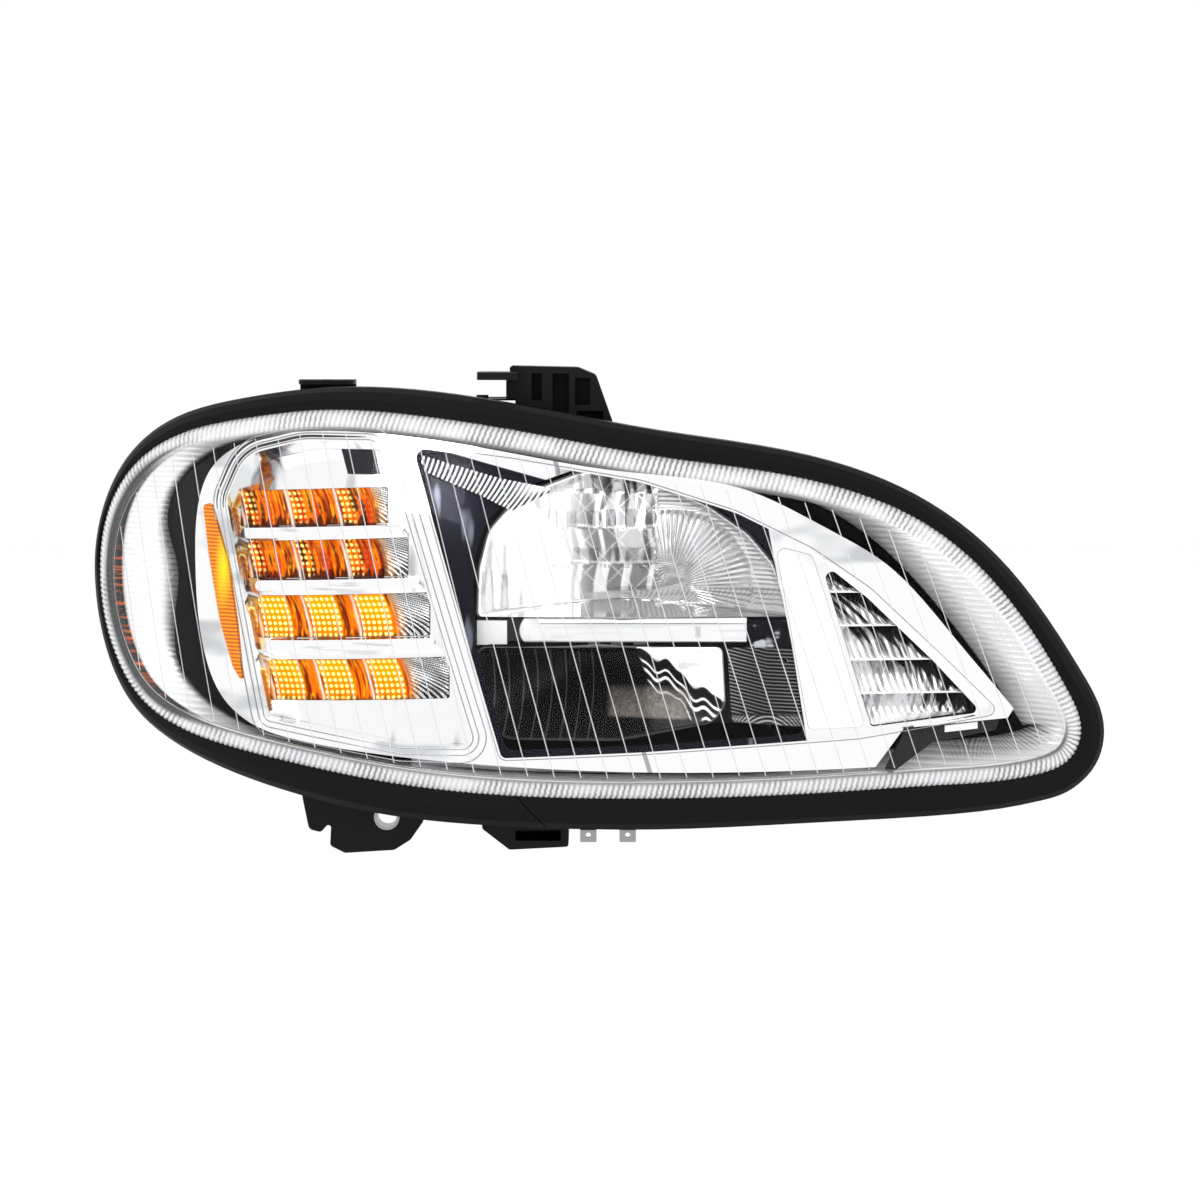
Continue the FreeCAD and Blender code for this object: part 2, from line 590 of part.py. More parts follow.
def make_bezel():
    outer = run_wire(BEZEL_RUNS)
    block = prism(outer)
    pocket = prism(inset_wire(outer, BEZEL_WALL))
    for outline, wall in ((TURN_OPENING, BEZEL_WALL), (MAIN_OPENING, BEZEL_WALL), (SIDE_MARKER, 1.5)):
        pocket = pocket.cut(prism(rounded_wire(outline, wall)))
    for outline, gap in ((TURN_OPENING, 0), (MAIN_OPENING, 0), (SIDE_MARKER, OPTIC_GAP)):
        block = block.cut(prism(rounded_wire(outline, gap)))
    bezel = block.common(slab(BEZEL_DEPTH, BEZEL_DEPTH + BEZEL_RETURN))
    bezel = bezel.cut(pocket.common(slab(BEZEL_DEPTH + BEZEL_WALL, BEZEL_DEPTH + BEZEL_RETURN + 5)))
    clear = prism(rounded_wire(MAIN_OPENING, BEZEL_WALL + 0.5))
    bezel = bezel.cut(clear.common(slab(MASK_DEPTH - 0.1, BEZEL_DEPTH + BEZEL_RETURN + 5)))
    posts = [rod(x, z, face_depth(x, z) + BEZEL_DEPTH + 1.2, POST_END_Y - SEAT_GAP, POST_RADIUS)
             for x, z in BEZEL_POSTS]
    screw_holes = [rod(x, z, POST_END_Y - 16, POST_END_Y + 1, SCREW_RADIUS + 0.05) for x, z in BEZEL_POSTS]
    keep("chrome_bezel", bezel.fuse(Part.makeCompound(posts)).cut(Part.makeCompound(screw_holes)))


def make_side_marker():
    outline = prism(rounded_wire(SIDE_MARKER))
    keep("side_marker_lens", outline.common(slab(BEZEL_DEPTH - 1.5, MARKER_BACK_DEPTH - 2.0)))
    keep("side_marker_board", outline.common(slab(MARKER_BACK_DEPTH - 1.9, MARKER_BACK_DEPTH - 0.3)))


def make_mask():
    plate = prism(rounded_wire(MAIN_OPENING, BEZEL_WALL)).common(slab(MASK_DEPTH, MASK_DEPTH + MASK_WALL))
    for outline, grow in ((BEAM_WINDOW, 0), (FIN_OUTLINE, OPTIC_GAP), (STEP_OUTLINE, OPTIC_GAP)):
        plate = plate.cut(prism(rounded_wire(outline, grow)))
    keep("beam_mask", plate)
    keep("upper_flute_strip", prism(rounded_wire(FLUTE_OUTLINE)).common(slab(MASK_DEPTH - 4, MASK_DEPTH - 0.1)))


def make_skirt():
    def inner(extra):
        return lambda width, inset: extra - inset
    clear = GROOVE_INNER_OFFSET - GROOVE_INNER_WALL - 0.5
    keep("side_skirt", ring_solid([
        ring(clear - SKIRT_WALL, SKIRT_FRONT_DEPTH), ring(inner(0.0), SKIRT_BACK_DEPTH),
        ring(inner(SKIRT_WALL), SKIRT_BACK_DEPTH + SKIRT_WALL), ring(clear, SKIRT_FRONT_DEPTH + SKIRT_WALL)]))


def row_outline(row, grow=0.0):
    """The four corners of a turn lamp row, which rises slightly towards the lamp's middle."""
    z, left, right, height = row
    middle = (left + right) / 2

    def corner(x, side):
        return (x, z + TURN_ROW_SLOPE * (x - middle) + side * (height / 2 + grow), 1.5)
    return [corner(left - grow, 1), corner(right + grow, 1), corner(right + grow, -1), corner(left - grow, -1)]


def cell_box(row, n, half_x, half_z):
    z, left, right, height = row
    x = left + TURN_CELL_MARGIN + TURN_CELL_WIDTH / 2 + TURN_CELL_PITCH * n
    z += TURN_ROW_SLOPE * (x - (left + right) / 2)
    return box((x - half_x, x + half_x), (-200, 300), (z - half_z, z + half_z))


def make_turn_lamp():
    outer = prism(rounded_wire(TURN_OPENING, TURN_TRAY_GAP + TURN_WALL))
    inner = prism(rounded_wire(TURN_OPENING, TURN_TRAY_GAP))
    within_tray = prism(rounded_wire(TURN_OPENING, TURN_TRAY_GAP - OPTIC_GAP))
    tray = outer.cut(inner).common(slab(TURN_FRONT_DEPTH, TURN_BACK_DEPTH))
    plate = outer.common(slab(TURN_PLATE_DEPTH, TURN_PLATE_DEPTH + TURN_WALL))
    bars = []
    for row in TURN_ROWS:
        plate = plate.cut(prism(rounded_wire(row_outline(row))))
    keep("turn_reflector", fuse([tray, plate]))
    for z, left, right in TURN_BARS:
        outline = row_outline((z, left, right, TURN_BAR_HEIGHT))
        outline = [(x, zz, TURN_BAR_HEIGHT / 2 - 0.1) for x, zz, r in outline]
        bars.append(prism(rounded_wire(outline)))
    keep("turn_bars", Part.makeCompound(bars).common(slab(TURN_BAR_DEPTH, TURN_PLATE_DEPTH - SEAT_GAP)))
    body = slab(TURN_PLATE_DEPTH - 1.0, TURN_PLATE_DEPTH + TURN_WALL + 2)
    pads = slab(TURN_PLATE_DEPTH - 3.0, TURN_PLATE_DEPTH)
    flange = slab(TURN_PLATE_DEPTH + TURN_WALL + OPTIC_GAP, TURN_PLATE_DEPTH + TURN_WALL + 2)
    for n, row in enumerate(TURN_ROWS):
        half_z = row[3] / 2 - 1.5
        cells = [cell_box(row, c, TURN_CELL_WIDTH / 2, half_z) for c in range(TURN_CELLS)]
        optic = fuse([prism(rounded_wire(row_outline(row, -OPTIC_GAP))).common(body),
                      prism(rounded_wire(row_outline(row, 1.4))).common(flange),
                      Part.makeCompound(cells).common(pads)])
        keep("turn_optic_row_%d" % (n + 1), optic.common(within_tray))
    board = prism(rounded_wire(TURN_OPENING, -0.1)).common(slab(TURN_BOARD_DEPTH, TURN_BOARD_DEPTH + 1.6))
    keep("turn_led_board", board)
    chips = [cell_box(row, c, 2.5, 2.5) for row in TURN_ROWS for c in range(TURN_CELLS)]
    keep("turn_leds", Part.makeCompound(chips).common(slab(TURN_BOARD_DEPTH - 1.2, TURN_BOARD_DEPTH - 0.05)))


def make_position_lamp():
    depth = MASK_DEPTH + MASK_WALL + 0.1
    panel = prism(rounded_wire(FIN_OUTLINE)).common(slab(MASK_DEPTH - 1, depth + 2))
    rim = frame_round(FIN_OUTLINE, depth, depth + 5, -1.0, PANEL_FLANGE)
    keep("position_light_panel", fuse([panel, rim]))
    inner = prism(rounded_wire(FIN_OUTLINE, -1.0 - OPTIC_GAP))
    keep("position_led_board", inner.common(slab(depth + 3.2, depth + 4.8)))
    chips = [box((x - 2, x + 2), (-200, 200), (z - 2, z + 2)) for x, z in ((132, 20), (142, -15), (152, -52))]
    keep("position_leds", Part.makeCompound(chips).common(slab(depth + 2.2, depth + 3.15)))

    left = STEP_OUTLINE[0][0] - 5
    profile = []

    def at(z, run):
        return V(left, face_depth(left, STEP_TOP) + STEP_RAKE * (z - STEP_TOP) + run, z)
    for n in range(STEP_COUNT):
        top = STEP_TOP - STEP_HEIGHT * n
        profile.append(at(top, STEP_DEEP))
        profile.append(at(top - STEP_HEIGHT, STEP_SHALLOW))
    bottom = STEP_TOP - STEP_HEIGHT * STEP_COUNT
    profile += [at(bottom, STEP_BACK), at(STEP_TOP + 4, STEP_BACK), at(STEP_TOP + 4, STEP_DEEP), profile[0]]
    run = STEP_OUTLINE[3][0] - left + 5
    steps = Part.Face(Part.makePolygon(profile)).extrude(V(run, run * STEP_SWEEP, 0))
    whole = prism(rounded_wire(STEP_OUTLINE))
    wall = whole.cut(prism(rounded_wire(STEP_OUTLINE, -1.5))).common(slab(MASK_DEPTH + 0.2, STEP_BACK - 6))
    flange = frame_round(STEP_OUTLINE, depth, depth + 2, -0.5, PANEL_FLANGE)
    keep("step_reflector", fuse([steps.common(whole), wall, flange]))


def bowl_points(rim, grow):
    wire = rounded_wire(rim, grow)
    return [V(p.x, face_depth(p.x, p.z) + BEAM_RIM_DEPTH, p.z) for p in wire.discretize(RIM_SAMPLES + 1)[:-1]]


def bowl_skin(points, apex):
    """A bowl from its rim to its apex: depth falls with the square of the distance from the apex."""
    wires = []
    for k in REFLECTOR_STEPS:
        wires.append(closed_wire([V(apex.x + (p.x - apex.x) * k, apex.y + (p.y - apex.y) * k * k,
                                    apex.z + (p.z - apex.z) * k) for p in points]))
    return Part.makeLoft(wires + [Part.Vertex(apex)], False, False).Faces, wires[0]


def bowl(rim, apex):
    """A reflector bowl and, for cutting its seats, the full block in front of its back."""
    inner, inner_edge = bowl_skin(bowl_points(rim, 0.0), V(*apex))
    outer, outer_edge = bowl_skin(bowl_points(rim, REFLECTOR_WALL), V(*apex) + V(0, REFLECTOR_WALL, 0))
    seat, seat_edge = bowl_skin(bowl_points(rim, REFLECTOR_WALL + SEAT_GAP),
                                V(*apex) + V(0, REFLECTOR_WALL + SEAT_GAP, 0))
    front = closed_wire([V(p.x, -90.0, p.z) for p in bowl_points(rim, REFLECTOR_WALL + SEAT_GAP)])
    block = solid_from(seat + band([seat_edge, front]) + [Part.Face(front)])
    return solid_from(inner + outer + band([inner_edge, outer_edge])), block


def make_beams():
    low, low_block = bowl(LOW_RIM, LOW_APEX)
    high, high_block = bowl(HIGH_RIM, HIGH_APEX)
    hole = box(LIGHT_HOLE_X, LIGHT_HOLE_Y, (SHELF_TOP - 20, SHELF_TOP + 12))
    keep("low_beam_reflector", low.cut(hole))
    keep("high_beam_reflector", high.cut(hole))

    shelf = box((SHELF_LEFT, SHELF_RIGHT), (SHELF_FRONT_Y, FRAME_Y - SEAT_GAP), (SHELF_BOTTOM, SHELF_TOP))
    keep("led_shelf", shelf.cut(low_block).cut(high_block))
    trim = box((SHELF_LEFT, SHELF_RIGHT), (SHELF_FRONT_Y - TRIM_GAP - TRIM_WALL, SHELF_FRONT_Y - TRIM_GAP),
               (SHELF_BOTTOM, SHELF_TOP + 2))
    trim = trim.makeFillet(1.8, [e for e in trim.Edges if abs(e.CenterOfMass.y - trim.BoundBox.YMin) < 0.01])
    keep("shelf_trim", trim.cut(low_block).cut(high_block))
    for name, z0, z1 in (("low_beam_leds", SHELF_TOP + 0.1, SHELF_TOP + 4),
                         ("high_beam_leds", SHELF_BOTTOM - 4, SHELF_BOTTOM - 0.1)):
        chips = [box((x - 4, x + 4), (9, 17), (z0, z1)) for x in (-5.0, 10.0, 25.0)]
        keep(name, Part.makeCompound(chips))

    panel = prism(rounded_wire(BEAM_PANEL)).common(slab(BEAM_PANEL_DEPTH, BEAM_PANEL_BACK_DEPTH))
    cavity = prism(rounded_wire(BEAM_PANEL, -BEAM_PANEL_WALL))
    cavity = cavity.common(slab(BEAM_PANEL_DEPTH + BEAM_PANEL_WALL, BEAM_PANEL_BACK_DEPTH + 1))
    panel = panel.cut(cavity)
    cheek = box((SHELF_RIGHT + 0.3, 124), (SHELF_FRONT_Y - 2, SHELF_FRONT_Y + 10), (-22.5, SHELF_TOP))
    link = box((86, 122), (-18, FRAME_Y - SEAT_GAP), (-34, -30))
    keep("beam_side_panel", fuse([panel, cheek.fuse(box((100, 122), (-12, -2), (-36, -20))), link])
         .cut(low_block).cut(high_block))
    block = box((-82, SHELF_LEFT - 0.3), (SHELF_FRONT_Y - 4, FRAME_Y - SEAT_GAP), (-21.5, SHELF_TOP))
    keep("shelf_end_block", block.cut(low_block).cut(high_block))

    frame = [prism(rounded_wire(FRAME_OUTLINE)).common(box((-200, 200), (FRAME_Y, FRAME_Y + FRAME_WALL), (-200, 200)))]
    for x, z in REFLECTOR_SEATS:
        frame.append(rod(x, z, -10, FRAME_Y + 1, 4.0))
    sockets = [(x, PIVOT_Z) for x in PIVOT_XS] + [(AIM_X, AIM_Z)]
    for x, z in sockets:
        frame.append(Part.makeSphere(SOCKET_RADIUS, V(x, PIVOT_Y, z)))
    carrier = fuse(frame).cut(low_block).cut(high_block)
    for x, z in sockets:
        carrier = carrier.cut(Part.makeSphere(BALL_RADIUS + BALL_GAP, V(x, PIVOT_Y, z)))
        carrier = carrier.cut(rod(x, z, PIVOT_Y + SOCKET_LIP, PIVOT_Y + 20, SOCKET_RADIUS + 1))
        carrier = carrier.cut(Part.makeCone(3.9, 7.5, 6, V(x, PIVOT_Y + SOCKET_LIP - 2, z), V(0, 1, 0)))
    keep("reflector_carrier", carrier)

    fins = [box(HEAT_SINK_X, (FRAME_Y + FRAME_WALL + SEAT_GAP, FRAME_Y + FRAME_WALL + 4), HEAT_SINK_Z)]
    count = int((HEAT_SINK_X[1] - HEAT_SINK_X[0] - 2) // HEAT_SINK_PITCH)
    for n in range(count + 1):
        x = HEAT_SINK_X[0] + HEAT_SINK_PITCH * n
        fins.append(box((x, x + 2), (FRAME_Y + FRAME_WALL + 3, HEAT_SINK_END_Y), HEAT_SINK_Z))
    keep("heat_sink", fuse(fins))


def make_pivots():
    studs = []
    for x in PIVOT_XS:
        studs.append(fuse([Part.makeSphere(BALL_RADIUS, V(x, PIVOT_Y, PIVOT_Z)),
                           rod(x, PIVOT_Z, PIVOT_Y + 2, PIVOT_BOSS_Y, 2.8),
                           rod(x, PIVOT_Z, PIVOT_BOSS_Y - 4, PIVOT_BOSS_Y - SEAT_GAP, 6.0),
                           rod(x, PIVOT_Z, PIVOT_BOSS_Y - 1, PIVOT_BOSS_Y + 20, STUD_THREAD_RADIUS)]))
    keep("pivot_ball_studs", Part.makeCompound(studs))


def gear_teeth(shape, count, cutter, axis):
    for n in range(count):
        tooth = cutter.copy()
        tooth.rotate(axis[0], axis[1], 360.0 / count * n)
        shape = shape.cut(tooth)
    return shape


def make_aim_drive():
    rod_shape = fuse([Part.makeSphere(BALL_RADIUS, V(AIM_X, PIVOT_Y, AIM_Z)),
                      rod(AIM_X, AIM_Z, PIVOT_Y + 2, AIM_ROD_END_Y, AIM_ROD_RADIUS)])
    keep("aim_rod", rod_shape)
    case = box((AIM_X - 17, AIM_X + 17), (BACK_Y + SEAT_GAP, GEAR_CASE_END_Y), (AIM_Z - 15, AIM_Z + 21))
    case = case.makeFillet(3.0, [e for e in case.Edges if abs(e.CenterOfMass.y - GEAR_CASE_END_Y) < 0.01])
    case = case.cut(rod(AIM_X, AIM_Z, BACK_Y + 4, GEAR_Y1 + 0.5, GEAR_RADIUS + 0.6))
    case = case.cut(rod(AIM_X, AIM_Z, BACK_Y - 1, GEAR_CASE_END_Y - 2.5, AIM_ROD_RADIUS + 0.4))
    case = case.cut(post(AIM_X, PINION_Y, AIM_Z + 4, PINION_TOP + 0.4, PINION_RADIUS + 0.5))
    case = case.cut(post(AIM_X, PINION_Y, AIM_Z + 4, AIM_Z + 40, DRIVE_SHAFT_RADIUS + 0.06))
    keep("aim_gear_case", case)
    gear = rod(AIM_X, AIM_Z, GEAR_Y0, GEAR_Y1, GEAR_RADIUS).cut(rod(AIM_X, AIM_Z, 0, 300, AIM_ROD_RADIUS + 0.06))
    tooth = box((AIM_X - 0.7, AIM_X + 0.7), (GEAR_Y1 - 2.2, GEAR_Y1 + 1), (AIM_Z + 6.5, AIM_Z + GEAR_RADIUS + 1))
    keep("aim_gear", gear_teeth(gear, GEAR_TEETH, tooth, (V(AIM_X, 0, AIM_Z), V(0, 1, 0))))
    pinion = post(AIM_X, PINION_Y, AIM_Z + 6.5, PINION_TOP, PINION_RADIUS)
    notch = box((AIM_X - 0.6, AIM_X + 0.6), (PINION_Y + 3.4, PINION_Y + 9), (AIM_Z, AIM_Z + 30))
    pinion = gear_teeth(pinion, PINION_TEETH, notch, (V(AIM_X, PINION_Y, 0), V(0, 0, 1)))
    shaft = post(AIM_X, PINION_Y, AIM_Z + 6.5, AIM_Z + 30, DRIVE_SHAFT_RADIUS)
    points = [V(AIM_X + 5.5 * math.cos(math.radians(60 * n)), PINION_Y + 5.5 * math.sin(math.radians(60 * n)),
                AIM_Z + 24) for n in range(7)]
    hexagon = Part.Face(Part.makePolygon(points)).extrude(V(0, 0, 12))
    keep("aim_drive", fuse([pinion, shaft, hexagon]))


def bayonet(x, z, opening, flange, lug_reach, count, half_angle, plug_y, grip):
    """A round turn-to-lock plug: a flange outside, a plug through the opening and lugs behind the wall."""
    shapes = [rod(x, z, BACK_Y + SEAL_HEIGHT, BACK_Y + SEAL_HEIGHT + FLANGE_WALL, flange),
              rod(x, z, plug_y, BACK_Y + SEAL_HEIGHT + 1, opening - 0.4)]
    lug_back = BACK_Y - HOUSING_WALL - 0.3
    lugs = lug_sectors(x, z, lug_back - 3, lug_back, opening + lug_reach, count, 90.0 if count == 3 else 0.0, half_angle)
    return fuse(shapes + lugs + grip)


def make_service_cap():
    top = BACK_Y + SEAL_HEIGHT + FLANGE_WALL
    grip = [box((CAP_X - 30, CAP_X + 30), (top - 1, top + 12), (CAP_Z - 4, CAP_Z + 4))]
    for n in range(12):
        ear = rod(CAP_X, CAP_Z + CAP_FLANGE_RADIUS - 1.0, BACK_Y + SEAL_HEIGHT, top, 2.5)
        ear.rotate(V(CAP_X, 0, CAP_Z), V(0, 1, 0), 30.0 * n)
        grip.append(ear)
    cap = bayonet(CAP_X, CAP_Z, CAP_OPENING_RADIUS, CAP_FLANGE_RADIUS, CAP_LUG_REACH, CAP_LUG_COUNT,
                  CAP_LUG_HALF_ANGLE, BACK_Y - 12, grip)
    hollow = rod(CAP_X, CAP_Z, BACK_Y - 13, top - 2.5, CAP_OPENING_RADIUS - 3)
    keep("service_cap", cap.cut(hollow))
    seal_in = CAP_OPENING_RADIUS + CAP_LUG_REACH + 0.8
    seal = rod(CAP_X, CAP_Z, BACK_Y + SEAT_GAP, BACK_Y + SEAL_HEIGHT - SEAT_GAP, CAP_FLANGE_RADIUS - 0.5)
    keep("service_cap_seal", seal.cut(rod(CAP_X, CAP_Z, 0, 300, seal_in)))


def make_signal_socket():
    top = BACK_Y + SEAL_HEIGHT + FLANGE_WALL
    grip = [box((SIGNAL_X - 10, SIGNAL_X + 10), (top - 1, top + 14), (SIGNAL_Z - 5, SIGNAL_Z + 5)),
            rod(SIGNAL_X, SIGNAL_Z, BACK_Y - 22, BACK_Y - 10, 9.0)]
    socket = bayonet(SIGNAL_X, SIGNAL_Z, SIGNAL_OPENING_RADIUS, SIGNAL_FLANGE_RADIUS, SIGNAL_LUG_REACH,
                     SIGNAL_LUG_COUNT, SIGNAL_LUG_HALF_ANGLE, BACK_Y - 14, grip)
    inlet = box((SIGNAL_X - 8, SIGNAL_X + 8), (top + 2, top + 15), (SIGNAL_Z - 3, SIGNAL_Z + 3))
    bulb_hole = rod(SIGNAL_X, SIGNAL_Z, BACK_Y - 23, BACK_Y - 14, 5.1)
    keep("signal_socket", socket.cut(inlet).cut(bulb_hole))
    seal = rod(SIGNAL_X, SIGNAL_Z, BACK_Y + SEAT_GAP, BACK_Y + SEAL_HEIGHT - SEAT_GAP, SIGNAL_FLANGE_RADIUS - 0.3)
    inner = SIGNAL_OPENING_RADIUS + SIGNAL_LUG_REACH + 0.7
    keep("signal_socket_seal", seal.cut(rod(SIGNAL_X, SIGNAL_Z, 0, 300, inner)))
    bulb = fuse([rod(SIGNAL_X, SIGNAL_Z, BACK_Y - 36, BACK_Y - 14.2, 5.0),
                 Part.makeSphere(5.0, V(SIGNAL_X, BACK_Y - 36, SIGNAL_Z))])
    keep("signal_bulb", bulb)


def make_connector():
    half_x, half_z = CONNECTOR_WIDTH / 2, CONNECTOR_HEIGHT / 2
    end = BACK_Y + CONNECTOR_LENGTH
    neck_x, neck_z = CONNECTOR_NECK
    body = fuse([
        box((CONNECTOR_X - half_x - 5, CONNECTOR_X + half_x + 5), (BACK_Y + SEAT_GAP, BACK_Y + 3),
            (CONNECTOR_Z - half_z - 3, CONNECTOR_Z + half_z + 3)),
        box((CONNECTOR_X - half_x, CONNECTOR_X + half_x), (BACK_Y + 1, end),
            (CONNECTOR_Z - half_z, CONNECTOR_Z + half_z)),
        box((CONNECTOR_X - neck_x, CONNECTOR_X + neck_x), (BACK_Y - 8, BACK_Y + 2),
            (CONNECTOR_Z - neck_z, CONNECTOR_Z + neck_z)),
        box((CONNECTOR_X - 4, CONNECTOR_X + 4), (BACK_Y + 9, end - 6),
            (CONNECTOR_Z + half_z - 0.5, CONNECTOR_Z + half_z + 2.5))])
    inside_x, inside_z = half_x - CONNECTOR_WALL, half_z - CONNECTOR_WALL
    body = body.cut(box((CONNECTOR_X - inside_x, CONNECTOR_X + inside_x), (BACK_Y + 5, end + 1),
                        (CONNECTOR_Z - inside_z, CONNECTOR_Z + inside_z)))
    pins = []
    for n in range(4):
        for side in (-2.6, 2.6):
            x = CONNECTOR_X - 9 + 6 * n
            pin_box = box((x - 0.7, x + 0.7), (BACK_Y - 9, end - 7), (CONNECTOR_Z + side - 0.5, CONNECTOR_Z + side + 0.5))
            pins.append(pin_box)
            body = body.cut(pin_box)
    keep("main_connector", body)
    keep("connector_pins", Part.makeCompound(pins))


def make_rear_fittings():
    vents = []
    for x, z in VENTS:
        cap = rod(x, z, BACK_Y + SEAT_GAP, BACK_Y + 6, VENT_RADIUS)
        for n in range(6):
            notch = rod(x, z + VENT_RADIUS, BACK_Y - 1, BACK_Y + 2.5, 1.6)
            notch.rotate(V(x, 0, z), V(0, 1, 0), 60.0 * n)
            cap = cap.cut(notch)
        vents.append(cap.fuse(rod(x, z, BACK_Y - 4, BACK_Y + 1, VENT_STEM_RADIUS)))
    keep("vent_caps", Part.makeCompound(vents))
    x, z = DRIVER_X, DRIVER_Z
    base = box(x, (BACK_Y + SEAT_GAP, BACK_Y + 9), z)
    fins = [base, box((x[0] - 6, x[1] + 6), (BACK_Y + SEAT_GAP, BACK_Y + 3), (z[0] + 6, z[1] - 6))]
    count = int((z[1] - z[0] - 2) // 5)
    for n in range(count + 1):
        fins.append(box((x[0] + 2, x[1] - 2), (BACK_Y + 8, BACK_Y + 15), (z[0] + 5 * n, z[0] + 5 * n + 1.8)))
    keep("driver_module", fuse(fins))


def screw(x, z, seat, length, head):
    shape = fuse([rod(x, z, seat, seat + 3, head), rod(x, z, seat - length, seat + 1, SCREW_RADIUS)])
    return shape.cut(rod(x, z, seat + 1.4, seat + 4, head * 0.45))


def make_screws():
    keep("bezel_screws", Part.makeCompound(
        [screw(x, z, POST_END_Y + BOSS_FLOOR + 0.05, 15, 4.6) for x, z in BEZEL_POSTS]))


def make_edge_strip():
    """The strip fills the hollow under the bezel's inner end and seats against the bezel's lower edge."""
    corners = [run[0] for run in BEZEL_RUNS[1:]] + [BEZEL_RUNS[-1][-1]]
    corners.append((corners[-1][0], corners[0][1]))
    bezel_foot = prism(rounded_wire([(x, z, EDGE_STRIP_GAP) for x, z in corners], EDGE_STRIP_GAP))
    front = BEZEL_DEPTH + BEZEL_WALL
    keep("bezel_edge_strip",
         prism(rounded_wire(EDGE_STRIP)).common(slab(front, front + EDGE_STRIP_THICKNESS)).cut(bezel_foot))


def make_brackets():
    block = solid_shell()
    top = prism(rounded_wire(UPPER_OUTLINE)).common(box((-120, 40), UPPER_Y, (60, 200)))
    for x, z in UPPER_POCKETS:
        top = top.cut(box(x, (UPPER_Y[0] - 1, UPPER_Y[1] - 6), z))
    x, y, z = INNER_TAB
    tab = box((x - 10, -56), (y - 16, y + 22), (z - TAB_THICKNESS, z))
    tab = tab.makeFillet(6.0, [e for e in tab.Edges if abs(e.CenterOfMass.x - (x - 10)) < 0.01
                               and abs(e.CenterOfMass.z - (z - TAB_THICKNESS / 2)) < 0.01])
    web = box((-64, -56), (UPPER_Y[0], y + 22), (z - 18, z))
    upper = fuse([top, tab, web]).cut(post(x, y, 100, 200, TAB_HOLE_RADIUS)).cut(block)
    keep("upper_bracket", upper.cut(Part.makeCylinder(STUD_PIN_RADIUS + 0.05, 12, V(-66, STUD_Y, STUD_Z), V(1, 0, 0))))
    pin = Part.makeCylinder(STUD_PIN_RADIUS, 22, V(-80, STUD_Y, STUD_Z), V(1, 0, 0))
    keep("snubber_pin", pin)
    tip = Part.makeCylinder(2.6, 8, V(-84, STUD_Y, STUD_Z), V(1, 0, 0))
    keep("snubber_tip", tip.cut(pin))

    x, y, z = OUTER_TAB
    plate = box((x - 19, x + 19), (y - 8, y + 16), (z - 3, z))
    plate = plate.makeFillet(8.0, [e for e in plate.Edges if abs(e.Length - 3) < 0.01 and e.CenterOfMass.y < y])
    riser = box((x - 19, x + 19), (y + 11, y + 16), (100, z))
    keep("outer_bracket", fuse([plate, riser]).cut(post(x, y + 1, 140, 160, TAB_HOLE_RADIUS)).cut(block))

    hook = prism(rounded_wire(HOOK_OUTLINE)).common(box((-260, -90), HOOK_Y, (-200, -60)))
    x, y, z = PIVOT_BORE
    boss = rod(x, z, HOOK_Y[0], HOOK_Y[1] + 6, BUSH_OUTER_RADIUS + 4)
    hook = fuse([hook, boss]).cut(rod(x, z, -50, 90, BUSH_OUTER_RADIUS + 0.03)).cut(block)
    keep("hook_bracket", hook)
    bush = rod(x, z, HOOK_Y[0], HOOK_Y[1] + 6, BUSH_OUTER_RADIUS)
    keep("pivot_bush", bush.cut(rod(x, z, -50, 90, PIVOT_BORE_RADIUS)))

    corner = [(LOCATOR_X[0], -95, 2), (LOCATOR_X[1], -95, 2), (LOCATOR_X[1], LOCATOR_Z + 1, 2),
              (-61, LOCATOR_Z - 1, 3), (-79, -143, 3), (-79, -130, 3)]
    locator = prism(rounded_wire(corner)).common(box((-120, 20), LOCATOR_Y, (-200, -60)))
    slot = box(LOCATOR_SLOT_X, (LOCATOR_Y[0] - 1, LOCATOR_Y[1] - 8), LOCATOR_SLOT_Z)
    keep("locator_block", locator.cut(slot).cut(block))


BUILDERS = [make_lens, make_sealant, make_surround, make_housing, make_u_nuts, make_bezel, make_side_marker,
            make_mask, make_skirt, make_turn_lamp, make_position_lamp, make_beams, make_pivots, make_aim_drive,
            make_service_cap, make_signal_socket, make_connector, make_rear_fittings, make_screws,
            make_edge_strip, make_brackets]


if __name__ == "__main__":
    os.makedirs("parts", exist_ok=True)
    for builder in BUILDERS:
        builder()
    for name, shape in SHAPES.items():
        moved = shape.copy()
        moved.translate(-ORIGIN)
        moved.exportStep("parts/%s.step" % name)
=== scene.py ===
"""Looks of the truck headlight: clear lens with moulded ridges and a beaded rim, chrome bezel and faceted
reflectors, amber turn lamp rows, fluted skirt, rubber surround, and the black housing with its fittings."""

import math

